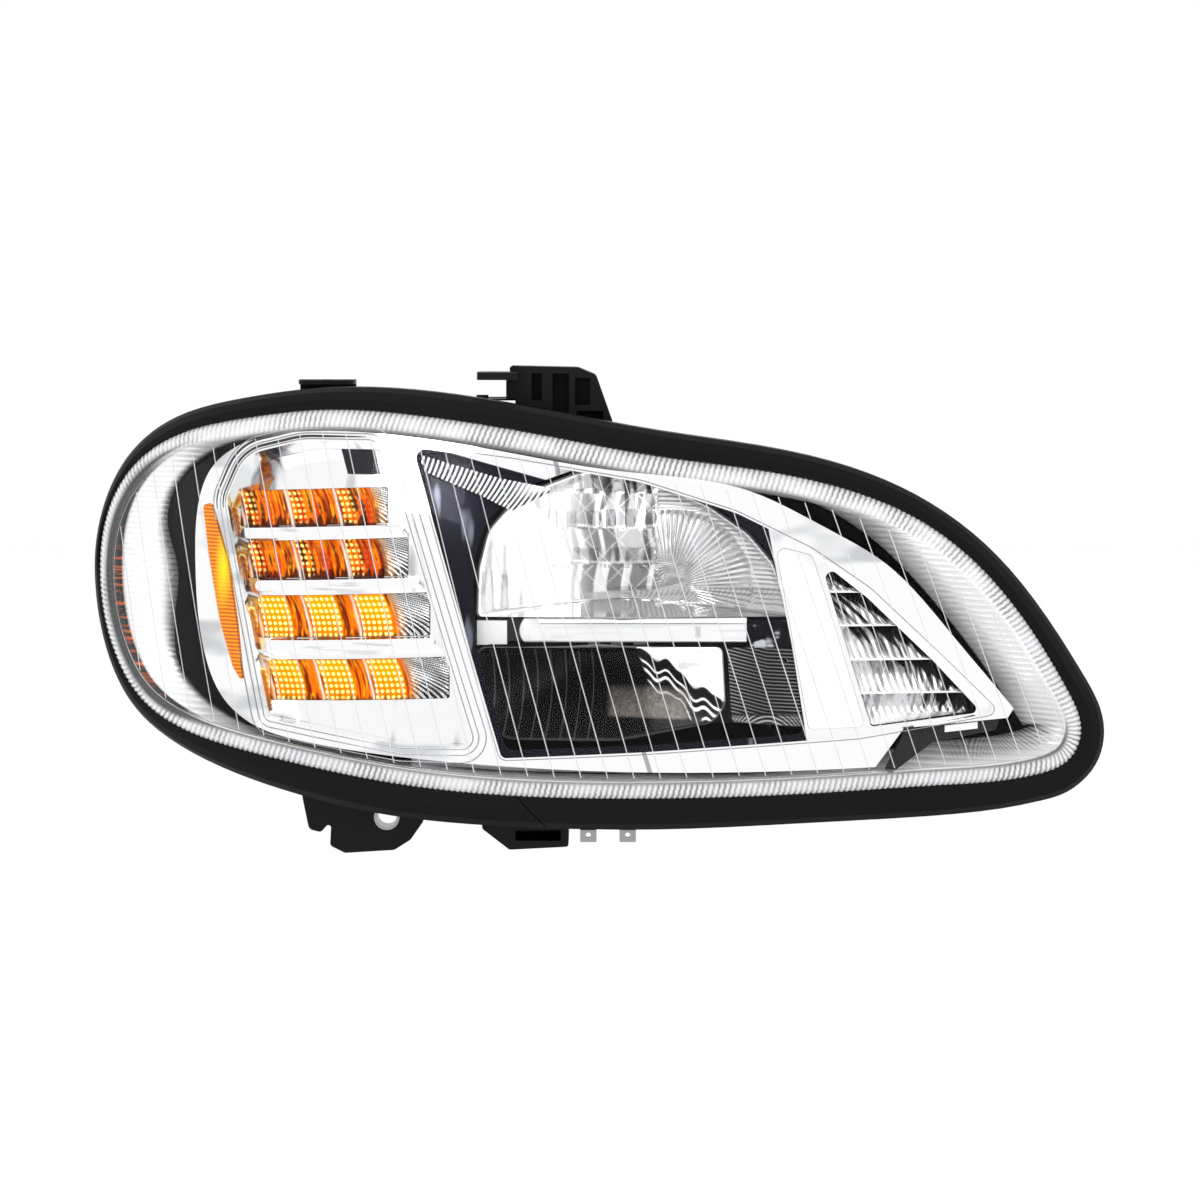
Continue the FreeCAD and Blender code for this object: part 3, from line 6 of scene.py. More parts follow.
import bmesh
import bpy
import numpy as np
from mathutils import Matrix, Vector


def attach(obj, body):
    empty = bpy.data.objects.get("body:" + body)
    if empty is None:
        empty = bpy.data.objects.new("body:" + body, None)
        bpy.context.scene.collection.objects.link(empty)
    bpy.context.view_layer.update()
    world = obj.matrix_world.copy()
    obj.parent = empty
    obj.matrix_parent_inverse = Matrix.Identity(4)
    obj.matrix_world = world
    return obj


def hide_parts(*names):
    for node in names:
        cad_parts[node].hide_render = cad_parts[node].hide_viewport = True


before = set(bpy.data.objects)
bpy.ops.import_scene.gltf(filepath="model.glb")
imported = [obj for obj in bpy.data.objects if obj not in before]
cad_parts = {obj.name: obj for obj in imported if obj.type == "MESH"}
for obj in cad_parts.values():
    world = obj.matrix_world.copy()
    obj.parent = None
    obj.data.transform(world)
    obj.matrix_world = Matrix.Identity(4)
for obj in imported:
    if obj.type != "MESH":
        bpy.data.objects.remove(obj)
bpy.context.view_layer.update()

# Lamp coordinates are millimetres, X right, Y to the rear, Z up; the row's origin lies here in them
ROW_ORIGIN = np.array([-73.0, 35.0, 156.0])
MM = 0.001

# Depth of the lens face
FACE_Y = -60.0
RAKE = 0.25
FACE_BULGE_RADIUS = 600.0
OUTER_WRAP = 150.0
OUTER_WRAP_POWER = 2.6
INNER_SWEEP = 45.0
HALF_LENGTH = 332.0

# Lens outline seen from the front: x, z, width of the rubber surround there, inset of the silver skirt there
LENS_OUTLINE = np.array([
    (-349, 13, 4.5, 58), (-341, 65, 5, 45), (-321, 93, 8, 34), (-288, 113, 11.5, 23),
    (-244, 124, 13, 14), (-188, 131, 14, 10), (-120, 128, 16, 10), (-40, 116, 16, 10),
    (38, 102, 16, 10), (110, 92, 15, 11), (165, 79, 14, 20), (209, 60, 13, 31),
    (248, 30, 13, 38), (281, -10, 13, 39), (306, -51, 14, 37), (315, -78, 15.5, 34),
    (308, -95, 17, 30), (283, -106, 17.5, 26), (220, -111, 19.5, 24), (140, -114.5, 19, 13),
    (37, -117, 20, 11), (-66, -115, 20, 11), (-144, -108, 21, 11), (-198, -100, 19.5, 11),
    (-247, -92, 15.5, 14), (-284, -83, 11, 24), (-315, -66, 8, 36), (-338, -33, 5.5, 49),
], float)
OUTLINE_CENTRE = np.array([-20.0, 5.0])

# Lens moulding
LENS_WALL = 3.0
ROLL_WIDTH = 14.0
ROLL_DEPTH = 16.0
LENS_FOOT_DEPTH = 37.0
BEAD_COUNT = 430
BEAD_STEPS = 4
BEAD_HEIGHT = 0.8
RIDGE_SPACING = 16.5
RIDGE_COUNT = 38
RIDGE_FIRST_X = -322.0
RIDGE_WIDTH = 0.8
RIDGE_HEIGHT = 0.35
RIDGE_LEAN = 0.19
RIDGE_SPAN = 620
RIDGE_HEIGHTS = (-118, 132)
RIDGE_STEPS = 50

# Silver skirt inside the rim
SKIRT_FRONT_OFFSET = -8.9
SKIRT_FRONT_DEPTH = 31.0
SKIRT_BACK_DEPTH = 52.0
SKIRT_WALL = 1.6
FLUTE_PITCH = 3.7
FLUTE_DEPTH = 0.55

# Turn lamp rows, top to bottom: middle height, left end, right end, height
TURN_ROWS = [(65.5, -245.0, -142.0, 24.0), (32.0, -239.0, -128.0, 25.0), (-5.0, -231.0, -113.0, 28.0),
             (-46.0, -222.0, -100.0, 27.0)]
TURN_ROW_SLOPE = 0.05
TURN_CELL_WIDTH = 22.0
TURN_CELL_PITCH = 34.0
TURN_CELL_MARGIN = 2.5
TURN_CELLS = 3
TURN_PAD_DEPTH = 43.2
TURN_STRIPE_DEPTH = 45.8
TURN_BACK_DEPTH = 50.0
# Painted light by row, top to bottom: the lower two rows are painted lit and glow, the upper two are painted
# in shade
TURN_ROW_GLOW = [0.07, 0.05, 1.0, 0.9]
DOT_PITCH_X = 3.6
DOT_PITCH_Z = 3.9

# Low and high beam reflectors: front rim outlines and apex points
BEAM_RIM_DEPTH = 42.0
LOW_RIM = [(-81, -3, 3), (-80, 28, 30), (-74, 52, 22), (-55, 74, 22), (-11, 91, 30), (32, 85, 40),
           (70, 68, 30), (96, 50, 25), (112, 31, 20), (122, 10, 14), (124, -3, 3)]
HIGH_RIM = [(-82, -23, 6), (-68, -81, 16), (10, -81, 40), (70, -71, 12), (79, -60, 8), (77, -23, 4)]
LOW_APEX = (14.0, 40.0, 5.0)
HIGH_APEX = (-2.0, 40.0, -33.0)
REFLECTOR_WALL = 2.2

# Position lamp reflector and the ribbed side panel, as depths behind the lens face
STEP_OUTLINE = [(143.5, 33, 4), (174, 9, 40), (217, -32, 40), (249, -66, 3), (176, -74, 3)]
STEP_TOP = 34.0
STEP_HEIGHT = 22.0
STEP_SHALLOW = 38.0
STEP_DEEP = 50.0
STEP_BACK = 56.0
BEAM_PANEL = [(82, -23, 2), (126, -23, 2), (132, -75, 3), (85, -71, 3)]
BEAM_PANEL_DEPTH = 43.8

# Bar in front of the lamp shelf: left and right end, foot and top, front and back
SHELF_TRIM_ENDS = (-61.8, 94.8)
SHELF_TRIM_HEIGHTS = (-19.9, -3.7)
SHELF_TRIM_FRONT = -16.2
SHELF_TRIM_BACK = -12.2
TRIM_EDGE_RADIUS = 1.6

# Openings in the bezel, its face, and the black strip under its inner end
TURN_OPENING = [(-253, 70, 16), (-240, 100, 26), (-200, 110, 60), (-150, 110, 12), (-141, 97, 10),
                (-83, -85, 6), (-131, -85, 20), (-222, -72, 4)]
MAIN_OPENING = [(-125, 107, 6), (-60, 99, 60), (25, 85, 60), (88, 65, 60), (137, 41, 60), (175, 15, 60),
                (221, -28, 60), (259, -65, 3), (168, -79, 30), (25, -88, 60), (-65, -92, 4)]
BEZEL_DEPTH = 22.0
APRON_EDGE = [(-131, -92.5), (-66, -97), (12, -100.5), (102, -101), (178, -99)]
LIP_ENDS = (-125, 172)
LIP_DROPS = [(-125, 7.5), (-55, 6.6), (0, 5.0), (172, 3.0)]
LIP_FRONT_DEPTH = 30.0
LIP_BACK_DEPTH = 50.0
LIP_WALL = 1.0
EDGE_STRIP_FRONT_DEPTH = 24.5
INSERT_ENDS = (224, 246)
INSERT_FOOT = -77.6
INSERT_SLOPE = 0.09
INSERT_HEIGHT = 4.4

# Hatched strip above the low beam
FLUTE_OUTLINE = [(-121, 102, 2), (-67, 87, 30), (-30, 80, 1.5), (-59, 66, 2), (-80, 76, 20), (-117, 91, 2)]
FLUTE_FRONT_DEPTH = 29.0
FLUTE_BACK_DEPTH = 32.9

# Section of a thin half-round ridge: share of its half width, share of its height
HALF_ROUND = np.array([(-1, 0.0), (-0.6, 0.8), (0, 1.0), (0.6, 0.8), (1, 0.0), (0, -0.3)])

# Finishes: grain, the edge of the painted reflection streaks on chrome, and the marker's hot spot in metres
BROAD_GRAIN_SCALE = 26.0
GRAIN_HEIGHT = 0.0003
TONED_MOTTLE = 0.08
TONED_GRAIN_SCALE = 500.0
STREAK_EDGE = 0.08
HOT_SPOT_PLACE = (-0.181, 0.0, -0.130)
HOT_SPOT_SIZE = (0.007, 0.060, 0.030)

# Edges of painted shade and painted highlights on CAD nodes, in metres: share of x, share of z, and where the
# edge starts and ends
BEZEL_SHADE = [(1, 0.31, 0.0228, 0.0232), (1, 0.31, 0.0262, 0.0258)]
TURN_SHADE = [(1, 0.30, -0.1178, -0.1172), (1, 0.30, -0.0945, -0.0952), (0, 1, -0.0685, -0.0680),
              (0, 1, -0.0515, -0.0520)]
MASK_BRIGHT_END = [(1, 0.178, 0.1640, 0.1646)]
MASK_BRIGHT_CORNER = [(0.271, 1, -0.0606, -0.0600), (-1, 0, -0.060, -0.040)]

# Studio in metres: each lamp's place, target, size and watts; then the floor
KEY_LIGHT = ((-1.0, -1.5, 1.6), (0, 0, -0.15), (0.9, 0.9), 14)
SIDE_LIGHT = ((1.6, -0.9, 0.7), (0.1, 0, -0.15), (0.5, 1.0), 5)
FLOOR_SIZE = 20
FLOOR_PLACE = (0, 3, -1.0)

# Camera: the photograph's view, in lamp coordinates
CAMERA_ELEVATION = math.radians(5.0)
CAMERA_DISTANCE = 2400.0
VIEW_WIDTH = 792.0
VIEW_CENTRE = (-1.3, 6.6)
SENSOR = 36.0


def lamp_to_row(points):
    return (np.asarray(points, float) - ROW_ORIGIN) * MM


def face_depth(x, z):
    """Lens face: rake times height, a shallow bulge, and a power curve towards each end."""
    sweep = np.where(x < 0, OUTER_WRAP * (np.abs(x) / HALF_LENGTH) ** OUTER_WRAP_POWER,
                     INNER_SWEEP * (x / HALF_LENGTH) ** 2)
    return FACE_Y + RAKE * z + z * z / (2 * FACE_BULGE_RADIUS) + sweep


def behind_face(x, z, depth):
    return np.stack([x, face_depth(x, z) + depth, z], -1)


def periodic_spline(values, knots, u):
    """Closed cubic spline through values at knots: equal slope and curvature from both sides at each knot."""
    count = len(values)
    steps = np.diff(knots)
    before = np.roll(steps, 1)
    matrix = np.zeros((count, count))
    rows = np.arange(count)
    matrix[rows, rows] = 2 * (before + steps)
    matrix[rows, (rows - 1) % count] += before
    matrix[rows, (rows + 1) % count] += steps
    slopes = (np.roll(values, -1, 0) - values) / steps[:, None]
    curvature = np.linalg.solve(matrix, 6 * (slopes - np.roll(slopes, 1, 0)))
    i = np.clip(np.searchsorted(knots, u, "right") - 1, 0, count - 1)
    t = (u - knots[i])[:, None]
    h = steps[i][:, None]
    a, b = curvature[i], curvature[(i + 1) % count]
    p, q = values[i], values[(i + 1) % count]
    place = ((a * (h - t) ** 3 + b * t ** 3) / (6 * h) + (p / h - a * h / 6) * (h - t)
             + (q / h - b * h / 6) * t)
    slope = (b * t ** 2 - a * (h - t) ** 2) / (2 * h) + (q - p) / h - (b - a) * h / 6
    return place, slope


def outline_samples(count):
    """Even steps round the lens outline: points, outward normals, surround widths and skirt insets."""
    runs = np.linalg.norm(np.roll(LENS_OUTLINE[:, :2], -1, 0) - LENS_OUTLINE[:, :2], axis=1)
    knots = np.concatenate([[0.0], np.cumsum(runs)])
    u = knots[-1] * np.arange(count) / count
    place, slope = periodic_spline(LENS_OUTLINE, knots, u)
    tangent = slope[:, :2] / np.linalg.norm(slope[:, :2], axis=1)[:, None]
    normal = np.stack([-tangent[:, 1], tangent[:, 0]], -1)
    return place[:, :2], normal, place[:, 2], place[:, 3]


def rim_row(samples, offset, depth, scale=1.0):
    """One row of points round the lamp at an offset from the outline and a depth behind the lens face."""
    place, normal = samples[0], samples[1]
    flat = place + normal * np.broadcast_to(offset, len(place))[:, None]
    flat = OUTLINE_CENTRE + (flat - OUTLINE_CENTRE) * scale
    return behind_face(flat[:, 0], flat[:, 1], depth)


def grid_quads(rows, cols, wrap_rows=False, wrap_cols=False):
    r = np.arange(rows if wrap_rows else rows - 1)
    c = np.arange(cols if wrap_cols else cols - 1)
    r, c = np.meshgrid(r, c, indexing="ij")
    r2, c2 = (r + 1) % rows, (c + 1) % cols
    return np.stack([r * cols + c, r * cols + c2, r2 * cols + c2, r2 * cols + c], -1).reshape(-1, 4)


def fan_triangles(centre, ring):
    return np.stack([np.full(len(ring), centre), ring, np.roll(ring, -1)], -1)


def add_piece(name, points, quads, triangles=None, body="housing", attributes=None):
    """A mesh from arrays of corners and faces, its faces turned outwards, riding on a body."""
    mesh = bpy.data.meshes.new(name)
    triangles = np.zeros((0, 3), int) if triangles is None else np.asarray(triangles)
    corners = np.concatenate([quads.ravel(), triangles.ravel()]).astype(np.int32)
    starts = np.concatenate([np.arange(len(quads)) * 4, len(quads) * 4 + np.arange(len(triangles)) * 3])
    mesh.vertices.add(len(points))
    mesh.vertices.foreach_set("co", lamp_to_row(points).astype(np.float32).ravel())
    mesh.loops.add(len(corners))
    mesh.loops.foreach_set("vertex_index", corners)
    mesh.polygons.add(len(starts))
    mesh.polygons.foreach_set("loop_start", starts.astype(np.int32))
    mesh.polygons.foreach_set("use_smooth", np.ones(len(starts), bool))
    mesh.update(calc_edges=True)
    mesh.validate()
    for key, values in (attributes or {}).items():
        values = np.asarray(values, np.float32)
        if values.shape == (len(points), 3):
            layer = mesh.attributes.new(key, "FLOAT_COLOR", "POINT")
            layer.data.foreach_set("color", np.concatenate([values, np.ones((len(points), 1))], 1).ravel())
        else:
            layer = mesh.attributes.new(key, "FLOAT", "POINT")
            layer.data.foreach_set("value", values.ravel())
    turned = bmesh.new()
    turned.from_mesh(mesh)
    bmesh.ops.recalc_face_normals(turned, faces=turned.faces)
    turned.to_mesh(mesh)
    turned.free()
    piece = bpy.data.objects.new(name, mesh)
    bpy.context.collection.objects.link(piece)
    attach(piece, body)
    return piece


def ring_piece(name, rows, **extra):
    """A closed ring: rows of points round the lamp, the last joined to the first."""
    rows = np.asarray(rows)
    return add_piece(name, rows.reshape(-1, 3), grid_quads(rows.shape[0], rows.shape[1], True, True), **extra)


def sheet_piece(name, front, back, **extra):
    """A closed plate from two grids of the same size, front and back, joined round their edge."""
    rows, cols = front.shape[:2]
    count = rows * cols
    index = np.arange(count).reshape(rows, cols)
    edge = np.concatenate([index[0, :-1], index[:-1, -1], index[-1, :0:-1], index[:0:-1, 0]])
    after = np.roll(edge, -1)
    sides = np.stack([edge, after, after + count, edge + count], -1)
    quads = grid_quads(rows, cols)
    quads = np.concatenate([quads, quads + count, sides])
    points = np.concatenate([front.reshape(-1, 3), back.reshape(-1, 3)])
    if extra.get("attributes"):
        extra["attributes"] = {key: np.concatenate([values.reshape(count, -1)] * 2)
                               for key, values in extra["attributes"].items()}
    return add_piece(name, points, quads, **extra)


def capped_piece(name, rows, poles, **extra):
    """A closed skin from rows of points: the first and last row each close on a pole."""
    cols = rows.shape[1]
    points = np.concatenate([rows.reshape(-1, 3), poles])
    ring = np.arange(cols)
    last = (len(rows) - 1) * cols
    triangles = np.concatenate([fan_triangles(len(points) - 2, ring),
                                fan_triangles(len(points) - 1, ring + last)])
    return add_piece(name, points, grid_quads(len(rows), cols, False, True), triangles, **extra)


def let_light_pass(piece):
    """Clear plastic throws no shadow and shows in no reflection."""
    piece.visible_glossy = False
    piece.visible_diffuse = False
    piece.visible_shadow = False


NOISE_TABLE = np.random.RandomState(7).rand(64, 64)


def noise(a, b):
    """Smooth value noise from 0 to 1: a table of random numbers, blended between whole values of a and b."""
    a, b = np.broadcast_arrays(a, b)
    i, j = np.floor(a).astype(int), np.floor(b).astype(int)
    s, t = a - i, b - j
    s, t = s * s * (3 - 2 * s), t * t * (3 - 2 * t)
    size = NOISE_TABLE.shape[0]
    corner = [NOISE_TABLE[(i + di) % size, (j + dj) % size] for di in (0, 1) for dj in (0, 1)]
    return (corner[0] * (1 - t) + corner[1] * t) * (1 - s) + (corner[2] * (1 - t) + corner[3] * t) * s


def paint(colour, other, share):
    """Blend of two colours, each one triple or an array of them, by a mask."""
    share = np.clip(share, 0, 1)[..., None]
    return np.asarray(colour, float) * (1 - share) + np.asarray(other, float) * share


def grey(value):
    return np.repeat(np.clip(value, 0, 1)[..., None], 3, -1) * np.array([0.985, 0.99, 1.0])


def line_mask(value, width):
    return 1 - smooth_step(np.abs(value), width * 0.5, width)


def smooth_step(value, low, high):
    t = np.clip((value - low) / (high - low), 0, 1)
    return t * t * (3 - 2 * t)


def saw(value):
    """A triangle wave of period 1, from 0 up to 1 and back."""
    return np.abs(2 * (value - np.floor(value)) - 1)


def make_camera():
    camera = bpy.data.cameras.new("photo_view")
    camera.sensor_width = SENSOR
    camera.lens = SENSOR * CAMERA_DISTANCE / VIEW_WIDTH
    camera.clip_end = 50.0
    camera.shift_x = VIEW_CENTRE[0] / VIEW_WIDTH
    camera.shift_y = VIEW_CENTRE[1] / VIEW_WIDTH
    holder = bpy.data.objects.new("photo_view", camera)
    bpy.context.collection.objects.link(holder)
    back = np.array([0.0, -math.cos(CAMERA_ELEVATION), math.sin(CAMERA_ELEVATION)])
    holder.location = lamp_to_row(back * CAMERA_DISTANCE)
    holder.rotation_euler = (math.radians(90.0) - CAMERA_ELEVATION, 0.0, 0.0)
    bpy.context.scene.camera = holder


make_camera()


def make_lens():
    """The face is a disc of rings shrunk about the centre; the rim is a quarter ellipse crossed by beads."""
    samples = outline_samples(240)
    scales = np.array([0.04, 0.1, 0.18, 0.27, 0.36, 0.45, 0.54, 0.63, 0.72, 0.8, 0.87, 0.93, 0.97, 1.0])
    front = [rim_row(samples, -ROLL_WIDTH, 0.0, k) for k in scales]
    inner = [rim_row(samples, -ROLL_WIDTH, LENS_WALL, k) for k in scales[::-1]]
    middle_x, middle_z = np.repeat(OUTLINE_CENTRE[:, None], 2, 1)
    poles = behind_face(middle_x, middle_z, np.array([0.0, LENS_WALL]))
    face = capped_piece("lens_face", np.array(front + inner), poles)

    samples = outline_samples(BEAD_COUNT * BEAD_STEPS)
    first_valley = 1 - np.tile([0.0, 0.7, 1.0, 0.7], BEAD_COUNT)
    rows, grooves, covers = [], [], []
    outer_end = smooth_step(-samples[0][:, 0], 250, 320)
    for step, angle in enumerate(np.radians([0, 8, 16, 24, 34, 46, 60, 74, 90])):
        valley = np.roll(first_valley, step // 2)
        bead = BEAD_HEIGHT * valley
        cut = bead * np.sin(angle) ** 0.5
        offset = -ROLL_WIDTH + ROLL_WIDTH * np.sin(angle) - cut * np.sin(angle)
        depth = ROLL_DEPTH * (1 - np.cos(angle)) + cut * np.cos(angle)
        rows.append(rim_row(samples, offset, depth))
        turned = np.degrees(angle)
        grooves.append(valley * smooth_step(turned, 4, 14) * (1 - smooth_step(turned, 70, 86)))
        covers.append(smooth_step(turned, 4 + 20 * outer_end, 20 + 22 * outer_end))
    rows.append(rim_row(samples, 0.0, ROLL_DEPTH + 3))
    rows.append(rim_row(samples, 0.0, LENS_FOOT_DEPTH))
    rows.append(rim_row(samples, -LENS_WALL, LENS_FOOT_DEPTH))
    for angle in np.radians([90, 60, 30, 0]):
        offset = -ROLL_WIDTH + (ROLL_WIDTH - LENS_WALL) * np.sin(angle)
        depth = LENS_WALL + (ROLL_DEPTH - LENS_WALL) * (1 - np.cos(angle))
        rows.append(rim_row(samples, offset, depth))
    grooves += [np.zeros(len(valley))] * (len(rows) - len(grooves))
    covers += [np.ones(len(valley))] * 3 + [np.zeros(len(valley))] * (len(rows) - len(covers) - 3)
    roll = ring_piece("lens_rim", rows, attributes={"groove": np.concatenate(grooves),
                                                    "cover": np.concatenate(covers)})
    for piece in (face, roll):
        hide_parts("outer_lens")
        let_light_pass(piece)
    return face, roll


def inside_polygon(x, z, polygon):
    """Even-odd rule: counts the polygon's edges that a ray along +x from each point crosses."""
    x, z = np.asarray(x)[:, None], np.asarray(z)[:, None]
    a, b = polygon, np.roll(polygon, -1, 0)
    spans = (a[:, 1] > z) != (b[:, 1] > z)
    rise = np.where(b[:, 1] == a[:, 1], 1e-9, b[:, 1] - a[:, 1])
    cross = a[:, 0] + (z - a[:, 1]) * (b[:, 0] - a[:, 0]) / rise
    return ((spans & (x < cross)).sum(1) % 2) == 1


def make_ridges():
    """Thin half-round ridges down the inside of the lens face, leaning more towards the inner end."""
    place, normal = outline_samples(400)[:2]
    limit = place - normal * (ROLL_WIDTH + 0.5)
    points, quads, start = [], [], 0
    for n in range(RIDGE_COUNT):
        foot_x = RIDGE_FIRST_X + RIDGE_SPACING * n
        lean = RIDGE_LEAN + RIDGE_LEAN * (foot_x - RIDGE_FIRST_X) / RIDGE_SPAN
        z = np.linspace(*RIDGE_HEIGHTS, 400)
        x = foot_x - lean * z
        inside = np.nonzero(inside_polygon(x, z, limit))[0]
        if len(inside) < 20:
            continue
        z = np.linspace(z[inside[0]], z[inside[-1]], RIDGE_STEPS)
        x = foot_x - lean * z
        side = HALF_ROUND[:, 0] * RIDGE_WIDTH / 2
        px = x[:, None] + side[None, :]
        pz = np.repeat(z[:, None], len(HALF_ROUND), 1)
        points.append(behind_face(px, pz, LENS_WALL + HALF_ROUND[None, :, 1] * RIDGE_HEIGHT).reshape(-1, 3))
        quads.append(grid_quads(RIDGE_STEPS, len(HALF_ROUND), False, True) + start)
        start += RIDGE_STEPS * len(HALF_ROUND)
    ridges = add_piece("lens_ridges", np.concatenate(points), np.concatenate(quads))
    let_light_pass(ridges)
    return ridges


def make_skirt():
    """A ring from the rim back to its inner edge; level flutes of triangle section push its face back."""
    samples = outline_samples(1500)
    inset = samples[3]
    rows, tones = [], []
    for t in np.linspace(0, 1, 33):
        row = rim_row(samples, SKIRT_FRONT_OFFSET * (1 - t) - inset * t,
                      SKIRT_FRONT_DEPTH + (SKIRT_BACK_DEPTH - SKIRT_FRONT_DEPTH) * t)
        wave = saw((row[:, 2] + 0.05 * row[:, 0]) / FLUTE_PITCH)
        row[:, 1] += FLUTE_DEPTH * wave * smooth_step(t, 0, 0.1)
        rows.append(row)
        x, z = row[:, 0], row[:, 2]
        # Painted shade: darker at the bottom of each flute, towards the skirt's inner edge (strongly at the
        # outer end, lightly over the inner half), and over the inner end
        light = 0.99 - 0.20 * smooth_step(wave, 0.72, 0.98)
        rough = noise(x / 3.0, z / 1.2 + 9)
        shaded = 0.90 * smooth_step(-x, 205, 240) + 0.30 * smooth_step(x, 60, 120)
        light = light - shaded * smooth_step(t + 0.04 * (rough - 0.5), 0.70, 0.97)
        light = light - 0.14 * smooth_step(x, 120, 200)
        inner_end = smooth_step(x, 120, 190)
        light = light - 0.16 * inner_end * smooth_step(t, 0.25, 0.8)
        # Painted reflection: dark rays fanning out over the inner tip
        tip = smooth_step(x, 215, 250) * smooth_step(-z, 66, 82)
        fan = np.arctan2(z + 60, x - 238)
        light = light - 0.42 * tip * smooth_step(saw(fan * 22), 0.35, 0.9) * smooth_step(t, 0.1, 0.5)
        tone = grey(light)
        # Painted shadow in the gap at the outer end, along the skirt's front edge, with amber streaks of
        # painted reflection
        band = (1 - smooth_step(t, 0.13, 0.17)) * smooth_step(-x, 262, 285) * smooth_step(110 - z, 0, 30)
        streak = smooth_step(noise(x / 40.0, z / 1.1), 0.62, 0.8) * smooth_step(60 - np.abs(z + 8), 0, 20)
        gap_shadow_band = paint((0.012, 0.012, 0.012), (0.75, 0.16, 0.02), streak)
        tones.append(paint(tone, gap_shadow_band, band))
    for t in np.linspace(1, 0, 4):
        rows.append(rim_row(samples, (SKIRT_FRONT_OFFSET + SKIRT_WALL) * (1 - t) - (inset - SKIRT_WALL) * t,
                            SKIRT_FRONT_DEPTH + SKIRT_WALL + (SKIRT_BACK_DEPTH - SKIRT_FRONT_DEPTH) * t))
    tones += [np.full(tones[0].shape, 0.5)] * (len(rows) - len(tones))
    skirt = ring_piece("fluted_skirt", rows, attributes={"tone": np.concatenate(tones)})
    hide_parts("side_skirt")
    return skirt


